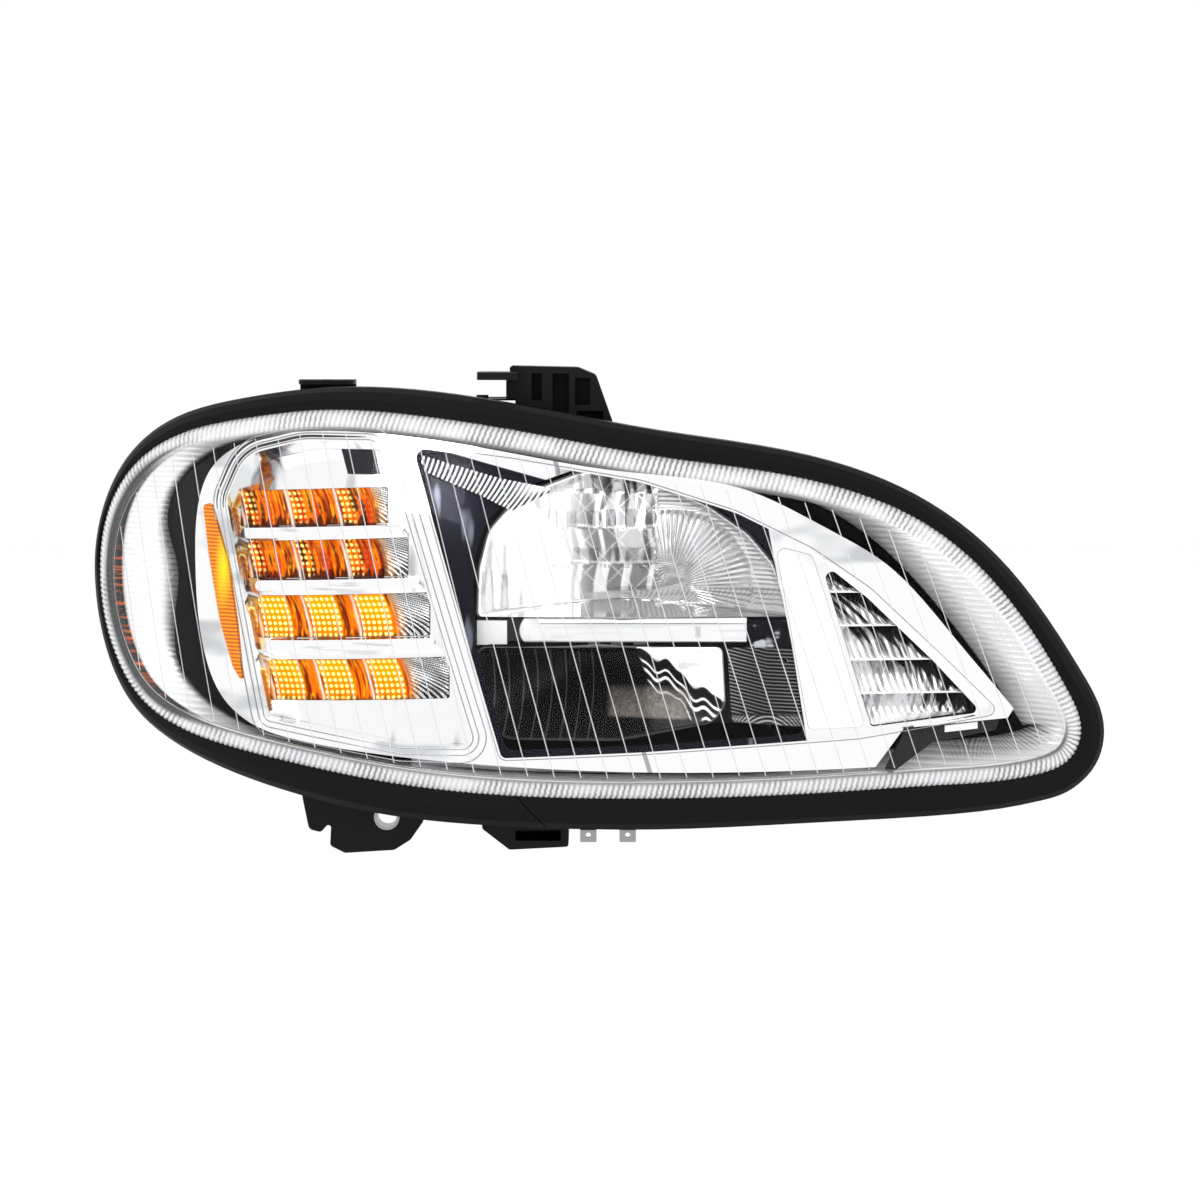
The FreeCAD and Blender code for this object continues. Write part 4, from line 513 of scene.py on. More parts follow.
def make_turn_rows():
    """Each row is a plate of three raised pads with round dots, stripes between and a fluted fan last."""
    pieces = []
    for n, (middle_z, left, right, height) in enumerate(TURN_ROWS):
        x = np.arange(left + 0.3, right - 0.2, 0.4)
        v = np.linspace(-height / 2 + 0.3, height / 2 - 0.3, int(height / 0.45))
        x, v = np.meshgrid(x, v)
        z = middle_z + v + TURN_ROW_SLOPE * (x - (left + right) / 2)
        lean = x + 0.28 * v + 0.01 * v * v
        along = lean - left - TURN_CELL_MARGIN
        cell = np.floor(along / TURN_CELL_PITCH)
        local = along - cell * TURN_CELL_PITCH
        pad = smooth_step(local, 0, 1.5) * (1 - smooth_step(local, TURN_CELL_WIDTH - 1, TURN_CELL_WIDTH + 1))
        pad *= (cell >= 0) & (cell < TURN_CELLS)
        fan = smooth_step(along, TURN_CELL_PITCH * TURN_CELLS - 12, TURN_CELL_PITCH * TURN_CELLS - 6)
        pad *= 1 - smooth_step(along, TURN_CELL_PITCH * TURN_CELLS - 13, TURN_CELL_PITCH * TURN_CELLS - 11)
        dot_x = local / DOT_PITCH_X - np.floor(local / DOT_PITCH_X) - 0.5
        dot_z = (v + height / 2) / DOT_PITCH_Z
        dot_z = dot_z - np.floor(dot_z) - 0.5
        reach = np.sqrt(dot_x ** 2 + (dot_z * 1.1) ** 2) / 0.42
        dot = np.clip(1 - reach ** 2, 0, 1) * pad
        stripe = (1 - pad) * (1 - fan)
        angle = np.arctan2(v - height * 0.7, along - TURN_CELL_PITCH * TURN_CELLS + 30)
        flutes = saw(angle * 24)
        crown = 0.75 + 0.25 * np.cos(v / height * 3)
        depth = TURN_STRIPE_DEPTH - (TURN_STRIPE_DEPTH - TURN_PAD_DEPTH) * pad * crown
        depth = depth - 0.9 * np.sqrt(dot) + fan * (1.6 * flutes - 1.0)
        depth = depth + stripe * 0.7 * saw(along / 2.1)
        cell_edge_highlight = np.exp(-((local - TURN_CELL_PITCH + 1.3 + 0.6 * np.cos(v / 5)) / 0.8) ** 2) * (1 - fan)
        # Painted light: pads lighter towards the top and bright on the lit rows; on the rows in shade, dark
        # red with streaks and black patches
        bright = TURN_ROW_GLOW[n]
        rise = smooth_step(v / height, -0.5, 0.5)
        streak = noise(lean / 1.3 + 20 * n, v / 14.0)
        fine = noise(lean / 0.7, v / 5.0 + 7 * n)
        pad_tone = paint((0.90, 0.22, 0.0), (1.0, 0.42, 0.0), rise * 0.6 + 0.3 * fine)
        dim_tone = paint((0.55, 0.022, 0.0), (1.0, 0.24, 0.0),
                         smooth_step(streak, 0.34, 0.70) * (0.55 + 0.45 * rise))
        dim_tone = paint(dim_tone, (0.03, 0.004, 0.0),
                         smooth_step(noise(lean / 1.1 + 31 * n, v / 9.0), 0.66, 0.76))
        pad_tone = paint(dim_tone, pad_tone, bright * (0.7 + 0.3 * rise))
        stripe_tone = paint((0.22, 0.015, 0.0), (0.90, 0.17, 0.0), smooth_step(streak, 0.25, 0.6))
        stripe_tone = paint(stripe_tone, (1.0, 0.50, 0.01), 0.8 * smooth_step(fine, 0.66, 0.84))
        tone = paint(stripe_tone, pad_tone, pad)
        # Painted light: dots glow pale yellow in the first columns of each cell and all over the lit rows
        first_columns = 1 - smooth_step(local, 7, 11)
        lit = np.maximum(bright, first_columns * (0.7 + 0.3 * noise(cell * 3.0, v / 4.0 + n)))
        dot_tone = paint((1.0, 0.58, 0.0), (1.0, 0.93, 0.38), smooth_step(dot, 0.35, 0.85))
        tone = paint(tone, dot_tone, smooth_step(dot, 0.05, 0.45) * lit)
        # Painted shade: the lower part of each row is nearly black, less so on the lit rows
        ragged = 0.22 * noise(lean / 1.6 + 5, n) * (1.6 - bright)
        jagged = smooth_step(-v / height + ragged, 0.46, 0.56)
        tone = paint(tone, (0.05, 0.006, 0.0), jagged * (0.95 - 0.3 * bright))
        # Painted highlight: a pale curved line near the end of each cell
        tone = paint(tone, (1.0, 0.93, 0.80), cell_edge_highlight * 0.9)
        # Painted reflection on the chrome fan: dark rays, and an amber tint at its left
        bent = along + 0.05 * (v + 4) ** 2
        rays = saw((v * 0.9 + 0.55 * bent) / 2.5) * (0.65 + 0.7 * noise(bent / 5.0 + 3 * n, v / 4.0))
        fan_tone = paint(grey(np.full_like(x, 0.95)), (0.03, 0.028, 0.03), smooth_step(rays, 0.36, 0.50))
        fan_tone = paint(fan_tone, (0.95, 0.42, 0.05), 0.45 * (1 - smooth_step(along, 92, 101)))
        tone = paint(tone, fan_tone, fan)
        front = behind_face(x, z, depth)
        back = behind_face(x, z, TURN_BACK_DEPTH)
        # Painted glow: dots, the pads of the lit rows and a little of the rest give off light; the fan does
        # not
        shine = smooth_step(dot, 0.2, 0.7) * lit * 0.6 + 0.35 * pad * bright + 0.20 * (1 - pad * bright)
        row = sheet_piece("turn_row_%d" % (n + 1), front, back, attributes={
            "tone": tone, "fan": fan, "lit": shine * (1 - fan)})
        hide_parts("turn_optic_row_%d" % (n + 1))
        pieces.append(row)
    return pieces


def rounded_outline(outline, count):
    """Even points along straight runs whose corners are rounded by tangent arcs."""
    corners = np.array([(x, z) for x, z, r in outline], float)
    radii = np.array([r for x, z, r in outline], float)
    back = np.roll(corners, 1, 0) - corners
    ahead = np.roll(corners, -1, 0) - corners
    back_length, ahead_length = np.linalg.norm(back, axis=1), np.linalg.norm(ahead, axis=1)
    back, ahead = back / back_length[:, None], ahead / ahead_length[:, None]
    half = np.arccos(np.clip((back * ahead).sum(1), -1, 1)) / 2
    trim = np.minimum(radii / np.tan(half), 0.48 * np.minimum(back_length, ahead_length))
    steps = np.linspace(0, 1, 13)
    path = []
    for i in range(len(corners)):
        start, end = corners[i] + back[i] * trim[i], corners[i] + ahead[i] * trim[i]
        radius = trim[i] * np.tan(half[i])
        bisector = (back[i] + ahead[i]) / np.linalg.norm(back[i] + ahead[i])
        centre = corners[i] + bisector * radius / np.sin(half[i])
        first = np.arctan2(*(start - centre)[::-1])
        turn = (np.arctan2(*(end - centre)[::-1]) - first + np.pi) % (2 * np.pi) - np.pi
        angles = first + turn * steps
        path.append(centre + radius * np.stack([np.cos(angles), np.sin(angles)], -1))
    path = np.concatenate(path)
    closed = np.concatenate([path, path[:1]])
    runs = np.concatenate([[0], np.cumsum(np.linalg.norm(np.diff(closed, axis=0), axis=1))])
    u = runs[-1] * np.arange(count) / count
    return np.stack([np.interp(u, runs, closed[:, 0]), np.interp(u, runs, closed[:, 1])], -1)


def bowl_grid(outline, apex, push, count, rows):
    """Reflector skin: points shrink to the apex by k while depth falls with k squared."""
    rim = rounded_outline(outline, count)
    middle = np.array([apex[0], apex[2]])
    outward = rim - middle
    rim = rim + outward / np.linalg.norm(outward, axis=1)[:, None] * push
    rim_y = face_depth(rim[:, 0], rim[:, 1]) + BEAM_RIM_DEPTH
    k = np.linspace(1, 0.02, rows)[:, None]
    x = apex[0] + (rim[None, :, 0] - apex[0]) * k
    z = apex[2] + (rim[None, :, 1] - apex[2]) * k
    y = apex[1] + push + (rim_y[None, :] - apex[1]) * k * k
    return np.stack([x, y, z], -1)


def bowl_piece(name, inner, outer, attributes):
    """The skin from the apex out to the rim and back behind it, with one tone for the back."""
    made = {}
    for key, values in attributes.items():
        values = values.reshape(*inner.shape[:2], -1)
        flat = np.concatenate([values[::-1], np.full((*outer.shape[:2], values.shape[2]), 0.2)])
        made[key] = np.concatenate([flat.reshape(-1, values.shape[2]), values[-1, :1], values[-1, :1]])
    poles = np.stack([inner[-1].mean(0), outer[-1].mean(0)])
    rows = np.concatenate([inner[::-1], outer])
    return capped_piece(name, rows, poles, body="beam_carrier", attributes=made)


def make_low_reflector():
    """The bowl with upright facets in the middle, radial flutes to the right and a soft wave to the left."""
    inner = bowl_grid(LOW_RIM, LOW_APEX, 0.0, 720, 90)
    outer = bowl_grid(LOW_RIM, LOW_APEX, REFLECTOR_WALL, 720, 20)
    x, z = inner[..., 0], inner[..., 2]
    k = np.linspace(1, 0.02, inner.shape[0])[:, None]
    fade = smooth_step(1 - k, 0.0, 0.06) * smooth_step(z, -1, 3)
    middle = smooth_step(x, -38, -30) * (1 - smooth_step(x, 34, 38))
    facets = 1.1 * saw(x / 13.0 + 0.15 * np.floor(z / 26)) + 0.5 * saw(z / 26)
    right = smooth_step(x, 34, 38)
    angle = np.arctan2(z - 12, x - 46)
    reach = np.hypot(x - 46, z - 12)
    flutes = right * (0.9 * saw(angle * 13) * smooth_step(reach, 8, 16) * (1 - smooth_step(reach, 50, 54))
                      + 0.8 * saw(z / 3.2) * smooth_step(reach, 54, 58))
    left = (1 - smooth_step(x, -38, -30)) * 0.15 * np.sin(x / 1.7)
    shift = (middle * facets + flutes + left) * fade
    inner[..., 1] += shift
    # Painted light: the tone of this chrome bowl is painted reflection throughout, and its left part is a
    # painted white glare that also glows
    painted_glare = smooth_step(-x, 2, 34)
    # Painted reflections in the middle: light and dark upright facets, pale crossing diagonals, two pale level
    # lines, a darker window and darker near the top
    column = noise(x / 3.0 + 0.5 * np.sin(z / 7.0), np.floor((z - 28) / 24.0) * 5.3 + z / 60.0)
    facet_tone = 0.26 + 0.68 * smooth_step(column, 0.40, 0.62)
    cross = np.minimum(np.abs(saw((x + z) / 44.0) - 0.5), np.abs(saw((x - z) / 44.0) - 0.5))
    facet_tone = facet_tone + 0.35 * (1 - smooth_step(cross, 0.0, 0.05))
    facet_tone = facet_tone - 0.25 * smooth_step(z, 60, 84) * smooth_step(x, -4, 8)
    for level in (28.6, 53.0):
        facet_tone = np.maximum(facet_tone, 0.95 * line_mask(z - level - 0.002 * (x - 10) ** 2, 1.1))
    dark_window = smooth_step(x, 8, 11) * (1 - smooth_step(x, 33, 36)) * smooth_step(z, 30, 31) * (
        1 - smooth_step(z, 51, 52))
    facet_tone = facet_tone * (1 - 0.30 * dark_window)
    # Painted reflections to the right: pale and grey rays, then a level hatch; a grey hatched strip along the
    # bottom
    rays = saw(angle * 11 + 0.02 * reach)
    ray_tone = 0.62 + 0.36 * smooth_step(rays, 0.35, 0.65) - 0.25 * smooth_step(-reach, -60, -20)
    hatch = 0.62 + 0.22 * smooth_step(saw(z / 2.7), 0.3, 0.7) - 0.12 * smooth_step(z, 40, 70)
    band = smooth_step(reach, 52, 56)
    right_tone = ray_tone * (1 - band) + hatch * band
    light = facet_tone * (1 - right) + right_tone * right
    low_strip = (1 - smooth_step(z - 0.05 * x, 8, 10)) * smooth_step(x, -16, 0)
    strip_tone = 0.42 + 0.26 * smooth_step(saw((x + z) / 1.9), 0.3, 0.7)
    light = light * (1 - low_strip) + strip_tone * low_strip
    soft = 0.96 - 0.10 * smooth_step(noise(x / 2.2, z / 60.0), 0.6, 0.8) * smooth_step(z, 24, 34) * (
        1 - smooth_step(z, 44, 50))
    light = light * (1 - painted_glare) + soft * painted_glare
    shade = light * (0.93 + 0.10 * noise(x / 1.6, z / 9.0))
    lit = 0.95 * smooth_step(-x, 2, 30)
    bowl = bowl_piece("low_beam_bowl", inner, outer, {"tone": grey(shade), "lit": lit})
    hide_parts("low_beam_reflector")
    return bowl


def make_high_reflector():
    """The lower bowl: curved upright flutes at its left, smooth to the right."""
    inner = bowl_grid(HIGH_RIM, HIGH_APEX, 0.0, 720, 110)
    outer = bowl_grid(HIGH_RIM, HIGH_APEX, REFLECTOR_WALL, 720, 16)
    x, z = inner[..., 0], inner[..., 2]
    k = np.linspace(1, 0.02, inner.shape[0])[:, None]
    fade = smooth_step(1 - k, 0.0, 0.08)
    bend = x + 0.004 * (z + 50) ** 2
    inner[..., 1] += fade * (1 - smooth_step(x, 0, 10)) * 0.25 * np.sin(bend * 2 * np.pi / 9.3)
    inner[..., 1] += fade * smooth_step(x, 20, 30) * 1.0 * np.sin(x / 9.0 + z / 14.0)
    # Painted reflections on the dark chrome: faint pale lines along the flutes, and a bright patch edged with
    # wavy pale lines in the lower right; the patch and its lines also glow
    flutes = line_mask(saw(bend / 9.3 + 0.15 * noise(bend / 20, 3.0)), 0.10)
    light = 0.012 + 0.10 * flutes * (1 - smooth_step(x, -6, 4))
    slant = z + 27.5 + 0.60 * (x - 25) + 2.6 * np.sin(x / 4.2) + 1.2 * np.sin(x / 1.9 + 1)
    inside = smooth_step(x + 0.35 * (z + 27), 22, 24) * (1 - smooth_step(x, 80, 82))
    inside = inside * smooth_step(z, -71, -69.5)
    patch = smooth_step(slant, 0, 1.5) * (0.97 - 0.25 * smooth_step(noise(x / 9.0, z / 3.0), 0.55, 0.8))
    wavy = np.maximum(line_mask(slant + 7, 1.0), line_mask(slant + 12, 1.4)) * 0.9
    wavy = np.maximum(wavy, line_mask(slant + 19 + 2 * np.sin(x / 3), 1.0) * 0.8)
    light = light * (1 - inside) + np.maximum(np.maximum(patch, wavy), 0.02) * inside
    # A brownish speckled area across the lower middle of the bowl
    brown_speckled_area = smooth_step(x, 2, 8) * (1 - smooth_step(x, 52, 60)) * smooth_step(z, -71, -69) * (
        1 - smooth_step(z, -57, -51))
    speckle = 0.16 + 0.22 * noise(x / 1.1, z / 1.1)
    brown = np.stack([speckle, speckle * 0.9, speckle * 0.82], -1)
    tone = paint(grey(light), brown, brown_speckled_area * (1 - patch * inside) * 0.85)
    # Painted highlight: a pale curved line near the right edge, which also glows
    frame_highlight = line_mask(x - 83.5 + 0.004 * (z + 45) ** 2, 0.9) * smooth_step(-z, 26, 28)
    tone = paint(tone, (0.85, 0.86, 0.88), frame_highlight)
    shown = np.maximum(patch, wavy) * inside + frame_highlight
    bowl = bowl_piece("high_beam_bowl", inner, outer, {"tone": tone, "lit": np.clip(shown, 0, 1)})
    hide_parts("high_beam_reflector")
    return bowl


def span_grid(outline, rows, cols):
    """A grid filling an outline: each row runs from its left edge to its right edge at one height."""
    edge = rounded_outline(outline, 600)
    closed = np.concatenate([edge, edge[:1]])
    z = np.linspace(edge[:, 1].min() + 0.2, edge[:, 1].max() - 0.2, rows)
    low, high = np.empty(rows), np.empty(rows)
    for i, level in enumerate(z):
        crossing = np.nonzero((closed[:-1, 1] - level) * (closed[1:, 1] - level) <= 0)[0]
        a, b = closed[crossing], closed[crossing + 1]
        run = np.where(np.abs(b[:, 1] - a[:, 1]) < 1e-9, 1e-9, b[:, 1] - a[:, 1])
        hits = a[:, 0] + (level - a[:, 1]) / run * (b[:, 0] - a[:, 0])
        low[i], high[i] = hits.min(), hits.max()
    t = np.linspace(0, 1, cols)[None, :]
    x = low[:, None] + (high - low)[:, None] * t
    return x, np.repeat(z[:, None], cols, 1), t * np.ones((rows, 1))


def make_step_reflector():
    """Five sloping steps with leaning flutes; each ledge ends in a painted dark reflection at the brow."""
    x, z = span_grid(STEP_OUTLINE, 220, 200)[:2]
    fall = (STEP_TOP - z) / STEP_HEIGHT
    part = fall - np.floor(fall)
    ledge = smooth_step(part, 0.90, 0.94)
    slope = np.clip(part / 0.9, 0, 1)
    depth = STEP_DEEP + (STEP_SHALLOW - STEP_DEEP) * slope
    lean = x + 0.33 * z
    depth = depth + 1.1 * saw(lean / 4.6) * (1 - ledge)
    brow = np.interp(z[:, 0], [-66, -32, 9, 33], [249, 217, 174, 143.5])[:, None]
    gap = brow - x
    run = x + 0.62 * z + 0.012 * (z + 20) ** 2
    streak = noise(run / 2.6, z / 30.0)
    # Painted dark reflection: a wedge at the end of each ledge by the brow
    dark_reflection_wedge = smooth_step(24 + 16 * (streak - 0.5) - gap - 22 * part, 0, 5) * (1 - ledge) * (
        1 - smooth_step(part, 0.84, 0.9))
    lines = smooth_step(noise(run / 1.7 + 11, z / 40.0), 0.56, 0.66)
    lines = lines * smooth_step(62 - gap - 30 * part, 0, 30)
    lines = lines * (1 - ledge) + 0.5 * smooth_step(streak, 0.66, 0.74) * (1 - ledge)
    front = behind_face(x, z, depth)
    back = behind_face(x, z, STEP_BACK)
    # Painted reflections: the dark wedges and dark streaks; the pale rest glows a little
    dark = np.clip(dark_reflection_wedge + 0.85 * lines, 0, 1)
    tone = paint(grey(np.full_like(x, 0.98)), (0.02, 0.02, 0.022), dark)
    steps = sheet_piece("stepped_flutes", front, back, attributes={"tone": tone, "lit": 0.15 * (1 - dark)})
    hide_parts("step_reflector")
    return steps


def make_side_panel():
    """A dark panel with fine ribs that fall slightly to the right."""
    x, z = span_grid(BEAM_PANEL, 240, 60)[:2]
    rib = saw((z + 0.16 * x - 0.10 * np.abs(x - 108)) / 2.3)
    front = behind_face(x, z, BEAM_PANEL_DEPTH - 0.15 - 0.35 * rib)
    back = behind_face(x, z, BEAM_PANEL_DEPTH + 1.0)
    # Painted light: pale rib crests as painted highlights, and along the foot painted shade crossed by a
    # bright moiré of painted reflection
    light = 0.006 + 0.34 * smooth_step(rib, 0.55, 0.85) * (0.45 + 0.55 * smooth_step(np.abs(x - 106), 3, 30))
    moire = smooth_step(-z, 66, 69) * smooth_step(np.sin((x - 108) ** 2 / 14 + z * 2.2), -0.2, 0.6)
    light = light * (1 - 0.7 * smooth_step(-z, 65, 66)) + 0.42 * moire
    panel = sheet_piece("ribbed_side_panel", front, back, body="beam_carrier",
                        attributes={"tone": grey(light), "lit": np.zeros_like(x)})
    return panel


def make_flute_strip():
    """The strip between two curved edges: at each height it runs from its lower to its upper edge."""
    turned = [(z, x, r) for x, z, r in FLUTE_OUTLINE]
    z, x, t = span_grid(turned, 260, 50)
    slanted = x - 0.55 * (z - 84) + 0.010 * (z - 84) ** 2
    wave = saw(slanted / 3.5)
    front = behind_face(x, z, FLUTE_FRONT_DEPTH + 0.9 * wave)
    back = behind_face(x, z, FLUTE_BACK_DEPTH)
    # Painted reflection: one face of each flute is dark, less so at the right end towards its upper edge; the
    # pale faces glow a little
    fade = 1 - 0.75 * smooth_step(x, -62, -40) * smooth_step(t, 0.2, 0.7)
    dark = smooth_step(wave, 0.42, 0.62) * fade
    tone = paint(grey(np.full_like(x, 0.97)), (0.03, 0.03, 0.035), dark)
    strip = sheet_piece("hatched_strip", front, back, attributes={"tone": tone, "lit": 0.1 * (1 - dark)})
    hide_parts("upper_flute_strip")
    return strip


def make_shelf_trim():
    """A long bar with rounded front edges: dark with a pale wedge at its left end, elsewhere pale with painted
    highlights along its top and foot.
    """
    foot, top = SHELF_TRIM_HEIGHTS
    x, z = np.meshgrid(np.linspace(*SHELF_TRIM_ENDS, 420), np.linspace(foot, top, 60))
    edge = np.minimum(z - foot, top - z)
    y = SHELF_TRIM_FRONT + TRIM_EDGE_RADIUS - np.sqrt(
        np.clip(TRIM_EDGE_RADIUS ** 2 - np.clip(TRIM_EDGE_RADIUS - edge, 0, None) ** 2, 0, None))
    light = 0.80 - 0.10 * smooth_step(noise(x / 30.0, z / 2.0), 0.45, 0.8)
    # Painted highlights along the top and the foot; a dark line under the top one and a dark upright mark
    # right of the middle
    light = light + 0.18 * smooth_step(z, -7.2, -6.6) - 0.45 * line_mask(z + 7.6, 0.5)
    light = light + 0.18 * (1 - smooth_step(z, -18.6, -18))
    light = light - 0.25 * line_mask(x - 63, 2.4) * smooth_step(z, -17, -16) * (1 - smooth_step(z, -10, -9))
    tone = grey(light)
    wedge = smooth_step(-x - 0.9 * (z + 12), 36, 37)
    tone = paint(tone, grey(0.86 - 0.12 * noise(x / 2.5, z / 6.0)), wedge)
    cup = smooth_step(-x + 0.05 * (z + 12) ** 2, 53.5, 54.5)
    tone = paint(tone, (0.012, 0.012, 0.014), cup)
    front = np.stack([x, y, z], -1)
    back = np.stack([x, np.full(x.shape, SHELF_TRIM_BACK), z], -1)
    # All but the dark cup glows a little as painted light
    trim = sheet_piece("shelf_bar", front, back, body="beam_carrier",
                       attributes={"tone": tone, "lit": 0.3 * (1 - cup)})
    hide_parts("shelf_trim")
    return trim


def loop_ridges(name, outline, offsets, width, depth, height, share=1.0):
    """Thin half-round ridges round an opening, each at its own distance outside the opening's rounded edge.

    A share below one keeps the first part of the way round, and the ridges run out thin at both its ends.
    """
    path = rounded_outline(outline, 700)
    run = np.roll(path, -1, 0) - np.roll(path, 1, 0)
    run = run / np.linalg.norm(run, axis=1)[:, None]
    outward = np.stack([run[:, 1], -run[:, 0]], -1)
    if ((path - path.mean(0)) * outward).sum() < 0:
        outward = -outward
    kept = int(len(path) * share)
    path, outward = path[:kept], outward[:kept]
    width = np.full(kept, width)[:, None]
    if share < 1:
        width = width * (0.06 + 0.94 * np.sin(np.linspace(0, np.pi, kept)) ** 0.5)[:, None]
    points, quads = [], []
    for n, offset in enumerate(offsets):
        across = offset + HALF_ROUND[None, :, 0] * width / 2
        flat = path[:, None, :] + outward[:, None, :] * across[..., None]
        skin = behind_face(flat[..., 0], flat[..., 1], depth - HALF_ROUND[None, :, 1] * height)
        points.append(skin.reshape(-1, 3))
        first = n * len(path) * len(HALF_ROUND)
        quads.append(grid_quads(len(path), len(HALF_ROUND), share == 1, True) + first)
        if share < 1:
            last = first + (len(path) - 1) * len(HALF_ROUND)
            ends = [(first, first + 1, first + 4, first + 5), (first + 1, first + 2, first + 3, first + 4)]
            ends += [(last + 5, last + 4, last + 1, last), (last + 4, last + 3, last + 2, last + 1)]
            quads.append(np.array(ends))
    ridges = add_piece(name, np.concatenate(points), np.concatenate(quads))
    return ridges


def make_apron_lip():
    """A sloping strip from the bezel's lower edge back to the skirt, its height following that edge."""
    x, t = np.meshgrid(np.linspace(*LIP_ENDS, 300), np.linspace(0, 1, 12))
    z = np.interp(x, *np.array(APRON_EDGE, float).T) + 0.4 - np.interp(x, *np.array(LIP_DROPS, float).T) * t
    depth = LIP_FRONT_DEPTH + (LIP_BACK_DEPTH - LIP_FRONT_DEPTH) * t
    front = behind_face(x, z, depth)
    back = behind_face(x, z, depth + LIP_WALL)
    light = 0.94 - 0.14 * noise(x / 5.0, t * 3) - 0.25 * line_mask(t - 0.62, 0.06)
    lip = sheet_piece("apron_lip", front, back, attributes={"tone": grey(light)})
    return lip


def make_strip_insert():
    """The pale insert on the black strip: a thin leaning plate."""
    x, t = np.meshgrid(np.linspace(*INSERT_ENDS, 40), np.linspace(0, 1, 10))
    z = INSERT_FOOT + INSERT_SLOPE * (x - INSERT_ENDS[0]) + INSERT_HEIGHT * t
    front = behind_face(x, z, EDGE_STRIP_FRONT_DEPTH - 0.5 + 0.05 * np.sin(x))
    back = behind_face(x, z, EDGE_STRIP_FRONT_DEPTH)
    insert = sheet_piece("strip_insert", front, back)
    return insert


def area_light(name, place, target, size, power):
    light = bpy.data.lights.new(name, "AREA")
    light.shape = "RECTANGLE"
    light.size, light.size_y = size
    light.energy = power
    holder = bpy.data.objects.new(name, light)
    bpy.context.collection.objects.link(holder)
    holder.location = place
    holder.rotation_euler = (Vector(target) - Vector(place)).to_track_quat("-Z", "Y").to_euler()


def make_studio():
    world = bpy.data.worlds.new("studio")
    bpy.context.scene.world = world
    world.use_nodes = True
    background = world.node_tree.nodes["Background"]
    background.inputs["Strength"].default_value = 1.0
    background.inputs["Color"].default_value = (1.0, 1.0, 1.0, 1)
    area_light("key", *KEY_LIGHT)
    area_light("side", *SIDE_LIGHT)
    bpy.context.scene.view_settings.view_transform = "Standard"


def set_inputs(tree, node, inputs):
    """Each input of the node gets a value, or a link from the socket given for it."""
    for key, value in inputs.items():
        if isinstance(value, bpy.types.NodeSocket):
            tree.links.new(value, node.inputs[key])
        else:
            node.inputs[key].default_value = value


def make_node(tree, kind, inputs=None, **settings):
    node = tree.nodes.new("ShaderNode" + kind)
    for key, value in settings.items():
        setattr(node, key, value)
    set_inputs(tree, node, inputs or {})
    return node


def object_place(tree):
    return make_node(tree, "TexCoord").outputs["Object"]


def object_noise(tree, scale, detail=2.0):
    """Noise on Object coordinates."""
    noise_inputs = {"Vector": object_place(tree), "Scale": scale, "Detail": detail}
    return make_node(tree, "TexNoise", noise_inputs).outputs["Fac"]


def attribute(tree, name, output="Fac"):
    return make_node(tree, "Attribute", attribute_name=name).outputs[output]


def calculate(tree, operation, *values):
    return make_node(tree, "Math", dict(enumerate(values)), operation=operation).outputs[0]


def map_range(tree, value, from_min=0.0, from_max=1.0, to_min=0.0, to_max=1.0, **settings):
    ends = {"Value": value, "From Min": from_min, "From Max": from_max, "To Min": to_min, "To Max": to_max}
    return make_node(tree, "MapRange", ends, **settings).outputs["Result"]


def mix(tree, share, low, high, blend="MIX"):
    """The colour between low and high at a share."""
    ends = {"Factor": share, "A": low, "B": high}
    return make_node(tree, "Mix", ends, data_type="RGBA", blend_type=blend).outputs["Result"]


def make_grain_group():
    """Moulded grain: fine and broad noise on Object coordinates give a shade, a roughness and a height."""
    group = bpy.data.node_groups.new("moulded_grain", "ShaderNodeTree")
    for label, kind in [("Colour", "Color"), ("Scale", "Float"), ("Roughness", "Float"), ("Spread", "Float"),
                        ("Mottle", "Float")]:
        group.interface.new_socket(label, in_out="INPUT", socket_type="NodeSocket" + kind)
    for label, kind in [("Shade", "Color"), ("Roughness", "Float"), ("Height", "Float")]:
        group.interface.new_socket(label, in_out="OUTPUT", socket_type="NodeSocket" + kind)
    given, made = group.nodes.new("NodeGroupInput").outputs, group.nodes.new("NodeGroupOutput")
    broad = object_noise(group, BROAD_GRAIN_SCALE, 4.0)
    shade = calculate(group, "MULTIPLY_ADD", broad, 0.9, 0.55)
    set_inputs(group, made, {
        "Shade": mix(group, given["Mottle"], given["Colour"], shade, "MULTIPLY"),
        "Roughness": calculate(group, "MULTIPLY_ADD", broad, given["Spread"], given["Roughness"]),
        "Height": object_noise(group, given["Scale"], 3.0)})
    return group


def new_material(name, metallic=0.0, roughness=0.5):
    material = bpy.data.materials.new(name + "_finish")
    material.use_nodes = True
    tree = material.node_tree
    shader = tree.nodes["Principled BSDF"]
    set_inputs(tree, shader, {"Metallic": metallic, "Roughness": roughness})
    return material, tree, shader


def add_grain(tree, shader, colour, roughness, spread, mottle, scale):
    """The shared group's shade and roughness on the shader; returns its height."""
    grain = make_node(tree, "Group", {"Colour": colour, "Scale": scale, "Roughness": roughness - spread / 2,
                                      "Spread": spread, "Mottle": mottle}, node_tree=GRAIN)
    set_inputs(tree, shader, {"Base Color": grain.outputs["Shade"], "Roughness": grain.outputs["Roughness"]})
    return grain.outputs["Height"]


def add_bump(tree, shader, strength, distance, height):
    bump = make_node(tree, "Bump", {"Strength": strength, "Distance": distance, "Height": height})
    set_inputs(tree, shader, {"Normal": bump.outputs["Normal"]})


